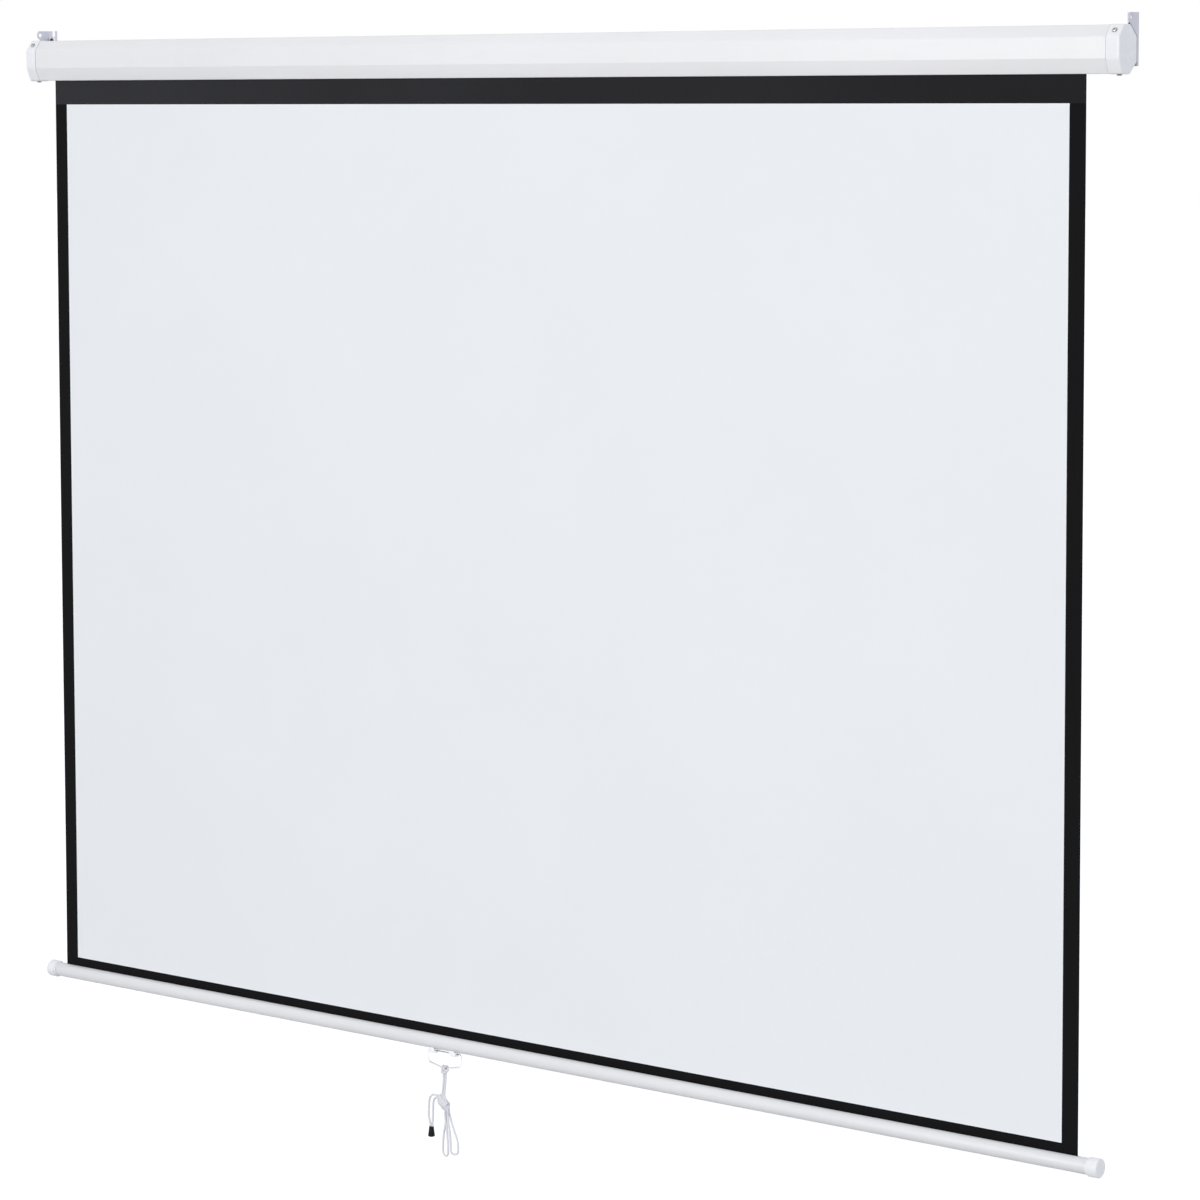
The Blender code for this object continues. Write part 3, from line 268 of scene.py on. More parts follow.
def add_piece(name, shape, body, replaced, sharp=35):
    """Make an object from a shape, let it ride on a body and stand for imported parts."""
    data = mesh_of(name, shape)
    data.shade_smooth()
    data.set_sharp_from_angle(angle=math.radians(sharp))
    piece = add_object(name, data)
    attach(piece, body)
    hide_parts(*replaced)
    print(name, len(data.polygons), "faces")
    return piece


# %% [markdown]
# ## The pull cord
#
# The real cord is one length of soft white braid, folded double and looped on the handle. Both
# strands are tied in one knot that leaves two loops below it, and their ends go into one black
# tip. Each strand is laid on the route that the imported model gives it: out of the hitch, down
# into the knot, round its loop, back up through the knot, and over to the tip. A braid isn't a
# smooth tube. Its yarns run round it both ways, over and under each other, and each stands up
# a little where it is on top.

# %% Cord routes
CORD_ORIGIN = Vector((-0.163, -0.04615, -1.7175))
CORD_DIAMETER = 0.0036
CORD_STEP = 0.0005
BRAID_YARNS = 8
BRAID_LENGTHS = 5.5
BRAID_SWELL = 0.00009
BRAID_FLATNESS = 0.4

STEM_A = [(-.0020, 0, -.0067), (-.0020, 0, -.0105), (-.0024, 0, -.0200), (-.0036, 0, -.0320),
          (-.0049, 0, -.0418), (-.0049, 0, -.0457)]
STEM_B = [(.0021, 0, -.0067), (.0021, 0, -.0105), (.0017, 0, -.0200), (.0005, 0, -.0320),
          (-.0008, 0, -.0418), (-.0008, 0, -.0457)]
LOOP_A = [(.0018, -.0021, -.0693), (.0018, -.0021, -.0735), (.0036, -.0028, -.0850),
          (.0062, -.0029, -.1000), (.0077, -.0026, -.1170), (.0081, -.0023, -.1320),
          (.0080, -.0022, -.1406), (.0061, -.0017, -.1453), (.0015, -.0006, -.1472),
          (-.0031, .0005, -.1453), (-.0050, .0010, -.1406), (-.0052, .0011, -.1320),
          (-.0045, .0014, -.1170), (-.0022, .0022, -.1000), (.0010, .0026, -.0850),
          (.0024, .0021, -.0735), (.0024, .0021, -.0693)]
LOOP_B = [(.0074, -.0021, -.0693), (.0074, -.0021, -.0735), (.0086, -.0026, -.0850),
          (.0106, -.0014, -.1000), (.0118, -.0005, -.1160), (.0121, -.0001, -.1280),
          (.0122, .0000, -.1361), (.0141, .0005, -.1408), (.0189, .0015, -.1427),
          (.0237, .0026, -.1408), (.0257, .0030, -.1361), (.0256, .0031, -.1290),
          (.0243, .0032, -.1205), (.0205, .0032, -.1105), (.0158, .0032, -.1000),
          (.0110, .0028, -.0870), (.0074, .0021, -.0735), (.0074, .0021, -.0693)]
TAIL_A = [(-.0149, 0, -.0480), (-.0190, 0, -.0479), (-.0262, 0, -.0484), (-.0318, 0, -.0535),
          (-.0339, 0, -.0620), (-.0349, 0, -.0740), (-.0350, 0, -.0850), (-.0330, 0, -.0940),
          (-.0314, 0, -.0983), (-.0314, 0, -.1022)]
TAIL_B = [(-.0149, 0, -.0522), (-.0185, 0, -.0522), (-.0222, 0, -.0545), (-.0246, 0, -.0595),
          (-.0252, 0, -.0665), (-.0258, 0, -.0790), (-.0266, 0, -.0930), (-.0272, 0, -.0983),
          (-.0272, 0, -.1022)]
TURN_A = [(.0024, .0018, -.0640), (.0014, .0014, -.0580), (-.0012, .0010, -.0525),
          (-.0060, .0006, -.0492), (-.0110, .0002, -.0482)]
TURN_B = [(.0070, .0018, -.0650), (.0052, .0014, -.0600), (.0018, .0010, -.0555),
          (-.0040, .0006, -.0530), (-.0100, .0002, -.0523)]


def braid_swell(around, along):
    """Give how far the yarn on top stands up: round across itself and flat along itself."""
    first = math.sin(math.pi * (BRAID_YARNS * around + BRAID_LENGTHS * along))
    second = math.sin(math.pi * (BRAID_YARNS * around - BRAID_LENGTHS * along))
    across, lengthwise = (first, second) if first * second > 0 else (second, first)
    return BRAID_SWELL * (abs(across) * abs(lengthwise) ** BRAID_FLATNESS - 0.5)


def braid_tube(points):
    """Lay a braided tube through points that are measured from the cord's origin."""
    line = even_line([CORD_ORIGIN + Vector(point) for point in points], CORD_STEP)
    return tube(line, CORD_DIAMETER / 2, swell=braid_swell), line


def make_strand(name, parts, replaced):
    """Lay one strand of the cord along its stem, its loop and its tail."""
    shape, line = braid_tube(sum(parts, []))
    piece = add_piece(name, shape, "pull_cord", replaced)
    print(name, "is", round(line_length(line), 4), "m long")
    return piece, line


strand_a, line_a = make_strand("cord_strand_a", (STEM_A, LOOP_A, TURN_A, TAIL_A),
                               ("cord_stem_a", "cord_loop_a", "cord_tail_a"))
strand_b, line_b = make_strand("cord_strand_b", (STEM_B, LOOP_B, TURN_B, TAIL_B),
                               ("cord_stem_b", "cord_loop_b", "cord_tail_b"))

# %% [markdown]
# ### Hitch, knot and tip
#
# The cord holds the handle with a lark's head: each strand goes up in front of the wire, over
# it and down behind, and one short bight crosses in front of both. The knot below is a thumb
# knot in the doubled cord. Tying it for real would need a rope simulation, so it is laid as
# what is seen of it: two strands that wind side by side round a leaning core, drawn in at both
# ends. The tip is a turned black plastic bell.

# %% Hitch
HITCH_MIDDLE = (0, -.0045, -.0064)
HITCH_STAGGER = .0002
HITCH_HALF = [(-.0020, .0000, -.0078), (-.0020, -.0006, -.0060), (-.0020, -.0031, -.0032),
              (-.0021, -.0043, .0000), (-.0024, -.0031, .0031), (-.0028, .0000, .0043),
              (-.0033, .0031, .0031), (-.0038, .0043, .0000), (-.0043, .0033, -.0030),
              (-.0046, .0004, -.0048), (-.0043, -.0024, -.0057), (-.0028, -.0041, -.0063)]


def make_hitch():
    """Loop the cord over the handle's wire with its bight in front."""
    other = [(-x, y, z + HITCH_STAGGER) for x, y, z in reversed(HITCH_HALF)]
    shape = braid_tube(HITCH_HALF + [HITCH_MIDDLE] + other)[0]
    return add_piece("cord_lark_hitch", shape, "pull_cord", ("cord_hitch",))


hitch = make_hitch()

# %% Knot
KNOT_CENTRE = Vector((-.0023, 0, -.0589))
KNOT_AXIS = Vector((.76, 0, -.65)).normalized()
KNOT_TURNS = 2.9
KNOT_START = math.pi / 4
KNOT_RADIUS = (.0068, .0054)
KNOT_LEAN = (.48, .25)
KNOT_SPACING = CORD_DIAMETER * 1.02
KNOT_POINTS = 150
KNOT_END_SHARE = .16
KNOT_END_RADIUS = .42
KNOT_END_PITCH = .9


def knot_points(strand):
    """Wind one strand round the knot's leaning core, drawn in toward both ends."""
    across = Vector((0, 1, 0)).cross(KNOT_AXIS)
    points = []
    for index in range(KNOT_POINTS + 1):
        share = index / KNOT_POINTS
        ease = min(1, share / KNOT_END_SHARE, (1 - share) / KNOT_END_SHARE)
        inward = KNOT_END_RADIUS + (1 - KNOT_END_RADIUS) * math.sin(ease * math.pi / 2)
        angle = FULL_TURN * KNOT_TURNS * share + KNOT_START
        flat = math.cos(angle) * KNOT_RADIUS[0] * inward
        deep = math.sin(angle) * KNOT_RADIUS[1] * inward
        height = 2 * KNOT_SPACING * KNOT_TURNS * (share - .5)
        height *= KNOT_END_PITCH + (1 - KNOT_END_PITCH) * ease
        height += (strand - .5) * KNOT_SPACING + KNOT_LEAN[0] * flat + KNOT_LEAN[1] * deep
        points.append(KNOT_CENTRE + KNOT_AXIS * height + across * flat + Vector((0, deep, 0)))
    return points


def make_knot():
    """Wind both strands side by side into one knot."""
    shapes = [braid_tube(knot_points(strand))[0] for strand in (0, 1)]
    return add_piece("cord_thumb_knot", joined(shapes), "pull_cord", ("cord_knot",))


knot = make_knot()

# %% Tip
TIP_PLACE = Vector((-.0293, 0, -.1025))
TIP_PROFILE = [(0, 0), (.0037, 0), (.0041, -.0004), (.0042, -.0012), (.0040, -.0017),
               (.0056, -.0142), (.0058, -.0154), (.0054, -.0164), (.0040, -.0172), (0, -.0172)]
TIP_ROUNDING = [0, .0003, .0004, .0003, .0003, .0012, .0006, .0006, .0008, 0]


def make_tip():
    """Turn the black bell that both ends of the cord go into."""
    profile = rounded_path(TIP_PROFILE, TIP_ROUNDING, closed=False, parts=4)
    shape = turned(profile, CORD_ORIGIN + TIP_PLACE, (0, 0, 1))
    return add_piece("cord_end_tip", shape, "pull_cord", ("cord_tip",))


tip = make_tip()

# %% [markdown]
# ### The cord's length and start
#
# A cord has facts that its shape must agree with: where it leaves the object, how long and how
# thick it is, how limp, and what is on its end. Below, each strand's length and some points of
# its route are worked out, and where it leaves the hitch is printed. The lengths are measured on
# the routes, because the photograph shows the whole cord. Each strand leaves the hitch and ends
# in the tip.

for strand, line in ((strand_a, line_a), (strand_b, line_b)):
    round(line_length(line), 3)
    [tuple(point) for point in line[::4] + [line[-1]]]
    print(strand.name, "leaves the hitch at", [round(value, 4) for value in line[0]])

# %% [markdown]
# ## Shader tools
#
# A finish is a small sum: this colour, a little darker where that noise is high. Drawn as a
# node tree such a sum is hard to read, so a wrapped socket here can be added, multiplied and
# subtracted like a number, and each operation adds one Math node. Colours aren't numbers, and
# a Math node would turn them grey, so they go through a Mix node. One method makes any other
# node: it takes the node's type, its settings, and the values or links of its sockets.

# %% Shader helper
class Value:
    """One socket of a node tree, ready for plain sums."""

    def __init__(self, tree, socket):
        self.tree = tree
        self.socket = socket

    def other_output(self, name):
        """Give another output of the same node."""
        return Value(self.tree, self.socket.node.outputs[name])

    def __add__(self, other):
        return self.tree.sum("ADD", self, other)

    def __sub__(self, other):
        return self.tree.sum("SUBTRACT", self, other)

    def __rsub__(self, other):
        return self.tree.sum("SUBTRACT", other, self)

    def __mul__(self, other):
        return self.tree.sum("MULTIPLY", self, other)

    __radd__ = __add__
    __rmul__ = __mul__


class Tree:
    """A node tree that is written as Python sums."""

    def __init__(self, owner):
        owner.use_nodes = True
        self.nodes = owner.node_tree.nodes
        self.links = owner.node_tree.links
        self.nodes.clear()

    def node(self, kind, settings=None, sockets=None, output=0):
        """Add a node: first its settings, then its sockets, and give one of its outputs."""
        made = self.nodes.new(kind)
        for key, value in (settings or {}).items():
            setattr(made, key, value)
        for key, value in (sockets or {}).items():
            if isinstance(value, Value):
                self.links.new(value.socket, made.inputs[key])
            else:
                made.inputs[key].default_value = value
        return Value(self, made.outputs[output]) if made.outputs else None

    def sum(self, operation, first, second=0.0):
        """Work one sum out on values or numbers."""
        return self.node("ShaderNodeMath", {"operation": operation}, {0: first, 1: second})

    def place(self, scale=(1, 1, 1)):
        """Give the object's own coordinates in metres, stretched if wanted."""
        return self.stretched(self.node("ShaderNodeTexCoord", output="Object"), scale)

    def stretched(self, vector, scale):
        """Stretch coordinates, so that a pattern on them turns long or fine."""
        return self.node("ShaderNodeMapping", {}, {"Vector": vector, "Scale": scale})

    def along_map(self, uv_map):
        """Give a UV map as one vector, and its two numbers."""
        uv = self.node("ShaderNodeUVMap", {"uv_map": uv_map})
        parts = self.node("ShaderNodeSeparateXYZ", {}, {0: uv}, "X")
        return uv, parts, parts.other_output("Y")

    def noise(self, vector, scale, detail=2.0, roughness=0.5):
        """Give smooth random values from 0 to 1, about 1/scale metres across."""
        return self.node("ShaderNodeTexNoise", {}, {
            "Vector": vector, "Scale": scale, "Detail": detail, "Roughness": roughness})

    def between(self, value, low, high):
        """Turn the middle part of a value into the full run from 0 to 1, clamped."""
        return self.node("ShaderNodeMapRange", {"clamp": True}, {
            "Value": value, "From Min": low, "From Max": high, "To Min": 0.0, "To Max": 1.0})

    def wave(self, value):
        """Give the sine of a value that is counted in whole turns."""
        return self.sum("SINE", value * FULL_TURN)

    def blend(self, share, first, second):
        """Mix two colours by a share. A plain colour is three numbers."""
        ends = [part if isinstance(part, Value) else (*part, 1) for part in (first, second)]
        return self.node("ShaderNodeMix", {"data_type": "RGBA"},
                         {0: share, 6: ends[0], 7: ends[1]}, 2)

    def mottled(self, pattern, low, high, colour, darkness):
        """Let a colour turn darker where a pattern is low."""
        darker = tuple(darkness * part for part in colour)
        return self.blend(self.between(pattern, low, high), darker, colour)

    def bump(self, height, distance):
        """Let a height in metres tilt the surface."""
        return self.node("ShaderNodeBump", {}, {
            "Height": height, "Distance": distance, "Strength": 1.0}, "Normal")

    def surface(self, colour, roughness, **others):
        """Close the tree with one Principled surface."""
        sockets = {"Base Color": colour, "Roughness": roughness}
        sockets.update({key.replace("_", " "): value for key, value in others.items()})
        shader = self.node("ShaderNodeBsdfPrincipled", {}, sockets)
        self.node("ShaderNodeOutputMaterial", {}, {"Surface": shader})


def new_finish(name):
    """Start a material and give it with its tree."""
    material = bpy.data.materials.new(name)
    return material, Tree(material)


def dress(material, *pieces):
    """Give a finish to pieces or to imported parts."""
    for piece in pieces:
        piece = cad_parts[piece] if isinstance(piece, str) else piece
        if piece.material_slots:
            for place in piece.material_slots:
                place.material = material
        else:
            piece.data.materials.append(material)
    print(material.name, "on", len(pieces))


# %% [markdown]
# ## Light and floor
#
# The photograph is a plain catalogue picture: white all round, and soft light from the front.
# The world gives most of the light. It is brightest round the horizon and darker overhead, like
# a studio with white walls, so the sloping faces of the case stand apart from its front. One
# wide lamp in front adds the rest, and a smaller one level with the screen lifts the end faces
# of the case and the bar, which the front lamp can't reach. The background is white because the
# eye, and reflections, see the world at full strength. The world and the side lamp are faintly
# blue and the front lamp faintly warm, as a window and a studio lamp are. The floor is a pale
# plane that keeps the shadow.

# %% World
WORLD_LEVEL = 1.26
WORLD_COLOUR = (0.955, 0.975, 1.0, 1)
WORLD_FADE = 0.7


def seen_rays(tree):
    """Give 1 for what the eye sees, straight or in metal, and 0 for light on its way."""
    ray = tree.node("ShaderNodeLightPath", output="Is Camera Ray")
    seen = ray + ray.other_output("Is Glossy Ray") + ray.other_output("Is Transmission Ray")
    return tree.sum("MINIMUM", seen, 1.0)


def make_world():
    """Light everything from all round, and show plain white to the eye."""
    world = bpy.data.worlds.new("studio")
    bpy.context.scene.world = world
    tree = Tree(world)
    way = tree.node("ShaderNodeTexCoord", output="Generated")
    height = tree.node("ShaderNodeSeparateXYZ", {}, {0: way}, output="Z")
    level = WORLD_LEVEL * (1 - WORLD_FADE * tree.between(height, 0.0, 1.0))
    soft = tree.node("ShaderNodeBackground", {}, {"Color": WORLD_COLOUR, "Strength": level})
    plain = tree.node("ShaderNodeBackground", {}, {"Color": (1, 1, 1, 1), "Strength": 1.0})
    mixed = tree.node("ShaderNodeMixShader", {}, {0: seen_rays(tree), 1: soft, 2: plain})
    tree.node("ShaderNodeOutputWorld", {}, {"Surface": mixed})


make_world()
bpy.context.scene.view_settings.view_transform = "Standard"
print("world level", WORLD_LEVEL)

# %% Lamps
def make_lamp(name, place, aim, size, power, colour):
    """Hang one wide soft lamp."""
    data = bpy.data.lights.new(name, "AREA")
    data.shape = "DISK"
    data.size = size
    data.energy = power
    data.color = colour
    turn = (Vector(aim) - Vector(place)).to_track_quat("-Z", "Y")
    add_object(name, data).matrix_world = Matrix.Translation(place) @ turn.to_matrix().to_4x4()
    print(name, "of", power, "W at", place)


make_lamp("front_lamp", place=(0.7, -7.0, 0.3), aim=(0.1, 0, -0.8), size=3.2, power=190,
          colour=(1.0, 0.985, 0.955))
make_lamp("side_lamp", place=(6.0, 0.6, 0.4), aim=(1.1, 0, -0.8), size=1.6, power=34,
          colour=(0.84, 0.90, 1.0))


# %% Floor
FLOOR_Z = -2.25
FLOOR_HALF = 60
FLOOR_BOUNCE = (0.36, 0.36, 0.37)
FLOOR_GLOW = (0.42, 0.42, 0.42)
WHITE = (1, 1, 1)
BLACK = (0, 0, 0)


def make_floor():
    """Lay a wide pale floor that is white to the eye and keeps the shadow."""
    shape = bmesh.new()
    bmesh.ops.create_grid(shape, x_segments=2, y_segments=2, size=FLOOR_HALF)
    bmesh.ops.translate(shape, vec=(0, 0, FLOOR_Z), verts=shape.verts)
    floor = add_object("floor", mesh_of("floor", shape))
    material, tree = new_finish("floor_paint")
    seen = seen_rays(tree)
    colour = tree.blend(seen, FLOOR_BOUNCE, WHITE)
    glow = tree.blend(seen, BLACK, FLOOR_GLOW)
    tree.surface(colour, 0.9, Emission_Color=glow, Emission_Strength=1.0)
    floor.data.materials.append(material)


make_floor()
print("floor at", FLOOR_Z)

# %% [markdown]
# ## Finishes
#
# Each finish below is written at its true scale in metres. Powder coat on the case and the bar
# has a soft orange peel about a millimetre across, moulded plastic has a finer spark grain, and
# steel has drawn lines. Each one also varies a little in colour and gloss from place to place,
# because an even colour is what gives a computer picture away.

# %% Coated and moulded finishes
DUST = (0.55, 0.54, 0.52)


def coat_finish(name, colour, roughness, peel_size, peel_height, coat=0.0, metallic=0.0):
    """Make sprayed enamel: an orange peel, a slow drift of shade, and small dull marks."""
    material, tree = new_finish(name)
    place = tree.place()
    drift = tree.noise(place, 2.3, 3)
    marks = tree.between(tree.noise(tree.place((1, 3, 3)), 24, 5, 0.62), 0.52, 0.75)
    peel = tree.noise(place, 1 / peel_size, 2.5, 0.45)
    grain = tree.noise(place, 5 / peel_size, 1.0)
    shade = tree.mottled(drift, 0.35, 0.65, colour, darkness=0.965)
    dulled = tree.blend(0.05 * marks, shade, DUST)
    gloss = roughness + 0.10 * (drift - 0.5) + 0.10 * marks
    tree.surface(dulled, gloss, Normal=tree.bump(peel + 0.18 * grain, peel_height),
                 Metallic=metallic, Coat_Weight=coat, Coat_Roughness=0.18)
    return material


def moulded_finish(name, colour, roughness, grain_size, grain_height, shine=0.5):
    """Make moulded plastic: a fine spark grain and faint flow shades."""
    material, tree = new_finish(name)
    place = tree.place()
    flow = tree.noise(tree.place((1, 1, 0.4)), 14, 3, 0.55)
    grain = tree.noise(place, 1 / grain_size, 3, 0.6)
    rubbed = tree.between(tree.noise(place, 34), 0.45, 0.8)
    gloss = roughness + 0.12 * (grain - 0.5) + 0.08 * rubbed
    tree.surface(tree.mottled(flow, 0.3, 0.7, colour, darkness=0.95), gloss,
                 Normal=tree.bump(grain, grain_height), Specular_IOR_Level=shine)
    return material


white_coat = coat_finish("white_coat", (0.86, 0.86, 0.88), roughness=0.46, peel_size=0.0016,
                         peel_height=0.00005, coat=0.05)
bar_coat = coat_finish("bar_coat", (0.79, 0.79, 0.815), roughness=0.40, peel_size=0.0014,
                       peel_height=0.00005, coat=0.08)
grey_coat = coat_finish("grey_coat", (0.63, 0.64, 0.72), roughness=0.40, peel_size=0.0011,
                        peel_height=0.00006, coat=0.05, metallic=0.15)
white_moulding = moulded_finish("white_moulding", (0.885, 0.89, 0.925), roughness=0.27,
                                grain_size=0.0005, grain_height=0.00002)
black_moulding = moulded_finish("black_moulding", (0.007, 0.005, 0.006), roughness=0.50,
                                grain_size=0.0006, grain_height=0.00003, shine=0.15)
print("five coated and moulded finishes")


# %% Metal finishes
EVEN_GRAIN = (900, 900, 900)
ALONG_X = (12, 1500, 1500)


def metal_finish(name, colour, roughness, grain=EVEN_GRAIN, tarnish=0.0):
    """Make metal: fine lines, a mottled shade, and dull fingerprints."""
    material, tree = new_finish(name)
    lines = tree.noise(tree.place(grain), 1.0, 3, 0.6)
    mottle = tree.noise(tree.place(), 160, 4, 0.6)
    prints = tree.between(tree.noise(tree.place(), 38, 3), 0.5, 0.72)
    shade = tree.mottled(mottle, 0.3, 0.75, colour, darkness=0.94 - 0.35 * tarnish)
    gloss = roughness + 0.09 * (lines - 0.5) + 0.10 * prints * (0.5 + mottle)
    tree.surface(shade, gloss, Normal=tree.bump(lines, 0.000012), Metallic=1.0)
    return material


bright_metal = metal_finish("bright_plated_wire", (0.76, 0.76, 0.78), roughness=0.16)
screw_metal = metal_finish("plated_screw_steel", (0.58, 0.58, 0.60), roughness=0.24, tarnish=0.3)
# Dark steel for the wall screws, also used as painted shade on the flanks and recesses of the
# bright screws.
dark_steel_and_painted_shade = metal_finish("dark_screw_steel_and_painted_shade", (0.10, 0.09, 0.085), roughness=0.42, tarnish=0.6)
plain_metal = metal_finish("plain_rolled_steel", (0.46, 0.46, 0.47), roughness=0.40,
                           grain=ALONG_X, tarnish=0.5)
tube_metal = metal_finish("drawn_aluminium", (0.70, 0.71, 0.73), roughness=0.34,
                          grain=ALONG_X, tarnish=0.2)
print("four metals")


# %% Cloth and braid finishes
CLOTH_ORIGIN = 2.0
CLOTH_THREADS = 1250.0
CLOTH_DEPTH = 0.00003
BAND_EDGE = 0.0004
BAND_HALF = 1.04
YARN_BRIGHT = (0.90, 0.90, 0.94)
# Colour of the painted shade down between the yarns.
YARN_PAINTED_SHADE = (0.66, 0.66, 0.73)
YARN_DEPTH = 0.00016
WHITE_TOP = -0.1225


def braid_finish():
    """Make the cord's braid: yarns that cross over and under, with painted shade between them, on
    the tube's own UV map.
    """
    material, tree = new_finish("white_braid")
    uv, around, along = tree.along_map("along")
    yarns = around * (BRAID_YARNS / 2)
    turns = along * (BRAID_LENGTHS / 2)
    first = tree.wave(yarns + turns)
    second = tree.wave(yarns - turns)
    first_on_top = tree.sum("GREATER_THAN", first * second, 0.0)
    one, other = tree.sum("ABSOLUTE", first), tree.sum("ABSOLUTE", second)
    over = one * tree.sum("POWER", other, BRAID_FLATNESS)
    under = other * tree.sum("POWER", one, BRAID_FLATNESS)
    yarn = first_on_top * over + (1 - first_on_top) * under
    fibres = tree.noise(tree.stretched(uv, (90, 30, 1)), 1.0, 3)
    # The braid turns darker where a yarn dips under its neighbour: painted shade.
    shade = tree.blend(tree.between(yarn, 0.05, 0.75), YARN_PAINTED_SHADE, YARN_BRIGHT)
    tree.surface(shade, 0.78 + 0.12 * (fibres - 0.5),
                 Normal=tree.bump(yarn + 0.25 * fibres, YARN_DEPTH), Specular_IOR_Level=0.25,
                 Sheen_Weight=0.25, Sheen_Roughness=0.5)
    return material


def cloth_finish(name, colour, dark, roughness, shine, band=None):
    """Make coated screen cloth: a close weave under a matt skin, on the sheet's UV map.

    A band above a height on the cloth may get painted light: colours given for its left and
    right, a painted sheen that runs across it.
    """
    material, tree = new_finish(name)
    uv, across, down = tree.along_map("cloth")
    weave = tree.wave(across * CLOTH_THREADS) * tree.wave(down * CLOTH_THREADS)
    pebble = tree.noise(uv, 1800)
    slow = tree.noise(uv, 3.5, 3)
    threads = tree.noise(tree.stretched(uv, (900, 6, 1)), 1.0)
    share = tree.between(0.55 * slow + 0.30 * pebble + 0.15 * threads, 0.35, 0.62)
    shade = tree.blend(share, dark, colour)
    if band:
        height, left, right = band
        above = tree.between(down, height, height + BAND_EDGE)
        sideways = tree.between(across, CLOTH_ORIGIN - BAND_HALF, CLOTH_ORIGIN + BAND_HALF)
        # The band's given colours are painted light: a painted sheen that fades from its left to
        # its right.
        painted_band_light = tree.blend(0.25 * share, tree.blend(sideways, left, right), dark)
        shade = tree.blend(above, shade, painted_band_light)
    tree.surface(shade, roughness + 0.08 * (pebble - 0.5), Specular_IOR_Level=shine,
                 Normal=tree.bump(0.6 * weave + 0.8 * pebble, CLOTH_DEPTH))
    return material


white_braid = braid_finish()
white_cloth = cloth_finish("white_screen_cloth", (0.85, 0.875, 0.91), (0.835, 0.86, 0.895),
                           roughness=0.86, shine=0.2)
# The black band's colours, lighter at the left and darker at the right, are a painted sheen.
black_cloth = cloth_finish("black_border_cloth", (0.0040, 0.0040, 0.0048),
                           (0.0030, 0.0030, 0.0036), roughness=0.72, shine=0.08,
                           band=(CLOTH_ORIGIN + WHITE_TOP, (0.033, 0.033, 0.038),
                                 (0.0135, 0.0135, 0.016)))
dress(white_braid, strand_a, strand_b, hitch, knot)
dress(black_moulding, tip)

# %% [markdown]
# ## The case
#
# The housing is one sheet of steel, folded into eight faces that leave a slot below for the
# cloth. It could be cut from a block, but a folder's way is simpler: draw the section as a row
# of points with an arc for each bend, pull the row along the whole length, give the sheet its
# thickness, and last take the sharpness off its edges with a bevel. The bend in front of the
# slot is tighter than the others, so it catches the light as a thin line along the case's foot.

# %% Section of the case
SEAT_GAP = 0.0003
SEAM = 0.0010
HOUSING_TOP = -0.0105
HOUSING_BOTTOM = -0.0805
HOUSING_FRONT = -0.058
HOUSING_BACK = -0.008
HOUSING_HALF = 1.0815
HOUSING_WALL = 0.0012
BEND_RADIUS = 0.003
LIP_RADIUS = 0.0016
SLOT_FRONT = -0.0473
SLOT_REAR = -0.0402
LOWER_FRONT = (0.0095, 0.022)
LOWER_REAR = (0.019, 0.017)
UPPER_REAR = (0.018, 0.017)
UPPER_FRONT = (0.013, 0.017)


def section_corners(grow=0.0):
    """Give the section's eight corners as Y and Z, grown outward by a distance."""
    corners = [
        Vector((HOUSING_FRONT + LOWER_FRONT[0], HOUSING_BOTTOM)),
        Vector((HOUSING_BACK - LOWER_REAR[0], HOUSING_BOTTOM)),
        Vector((HOUSING_BACK, HOUSING_BOTTOM + LOWER_REAR[1])),
        Vector((HOUSING_BACK, HOUSING_TOP - UPPER_REAR[1])),
        Vector((HOUSING_BACK - UPPER_REAR[0], HOUSING_TOP)),
        Vector((HOUSING_FRONT + UPPER_FRONT[0], HOUSING_TOP)),
        Vector((HOUSING_FRONT, HOUSING_TOP - UPPER_FRONT[1])),
        Vector((HOUSING_FRONT, HOUSING_BOTTOM + LOWER_FRONT[1])),
    ]
    moved = []
    for index, here in enumerate(corners):
        before = (here - corners[index - 1]).normalized()
        after = (corners[(index + 1) % 8] - here).normalized()
        outward = Vector((before.y, -before.x))
        bisector = (outward + Vector((after.y, -after.x))).normalized()
        moved.append(here + bisector * grow / bisector.dot(outward))
    return moved


def pulled(shape, grown, distance):
    """Move the fresh end of an extrusion along X and turn all faces outward."""
    moved = [item for item in grown["geom"] if isinstance(item, bmesh.types.BMVert)]
    bmesh.ops.translate(shape, vec=(distance, 0, 0), verts=moved)
    bmesh.ops.recalc_face_normals(shape, faces=shape.faces)
    return shape


def extruded(outline, start, end, closed):
    """Pull an outline along X. A closed outline gives a solid, an open one a sheet."""
    shape = bmesh.new()
    row = [shape.verts.new((start, y, z)) for y, z in outline]
    if closed:
        grown = bmesh.ops.extrude_face_region(shape, geom=[shape.faces.new(row)])
    else:
        edges = [shape.edges.new(pair) for pair in zip(row, row[1:])]
        grown = bmesh.ops.extrude_edge_only(shape, edges=edges)
    return pulled(shape, grown, end - start)


def take_away(work):
    """Remove a helper object and its mesh."""
    data = work.data
    bpy.data.objects.remove(work)
    bpy.data.meshes.remove(data)


def finished(shape, *steps):
    """Run modifiers on a shape and give the shape that they leave."""
    work = add_object("work", mesh_of("work", shape))
    for kind, settings in steps:
        step = work.modifiers.new(kind.lower(), kind)
        for key, value in settings.items():
            setattr(step, key, value)
    bpy.context.view_layer.update()
    seen = work.evaluated_get(bpy.context.evaluated_depsgraph_get())
    result = bpy.data.meshes.new_from_object(seen)
    take_away(work)
    made = bmesh.new()
    made.from_mesh(result)
    bpy.data.meshes.remove(result)
    return made


def wall(thickness, offset=-1.0):
    """Describe the step that gives a sheet its thickness."""
    return ("SOLIDIFY", {"thickness": thickness, "offset": offset, "use_even_offset": True})


def soft_edges(width, angle):
    """Describe the step that rounds every edge sharper than an angle."""
    return ("BEVEL", {"width": width, "segments": 2, "limit_method": "ANGLE",
                      "angle_limit": math.radians(angle)})


print("section is", round(HOUSING_TOP - HOUSING_BOTTOM, 4), "m high")


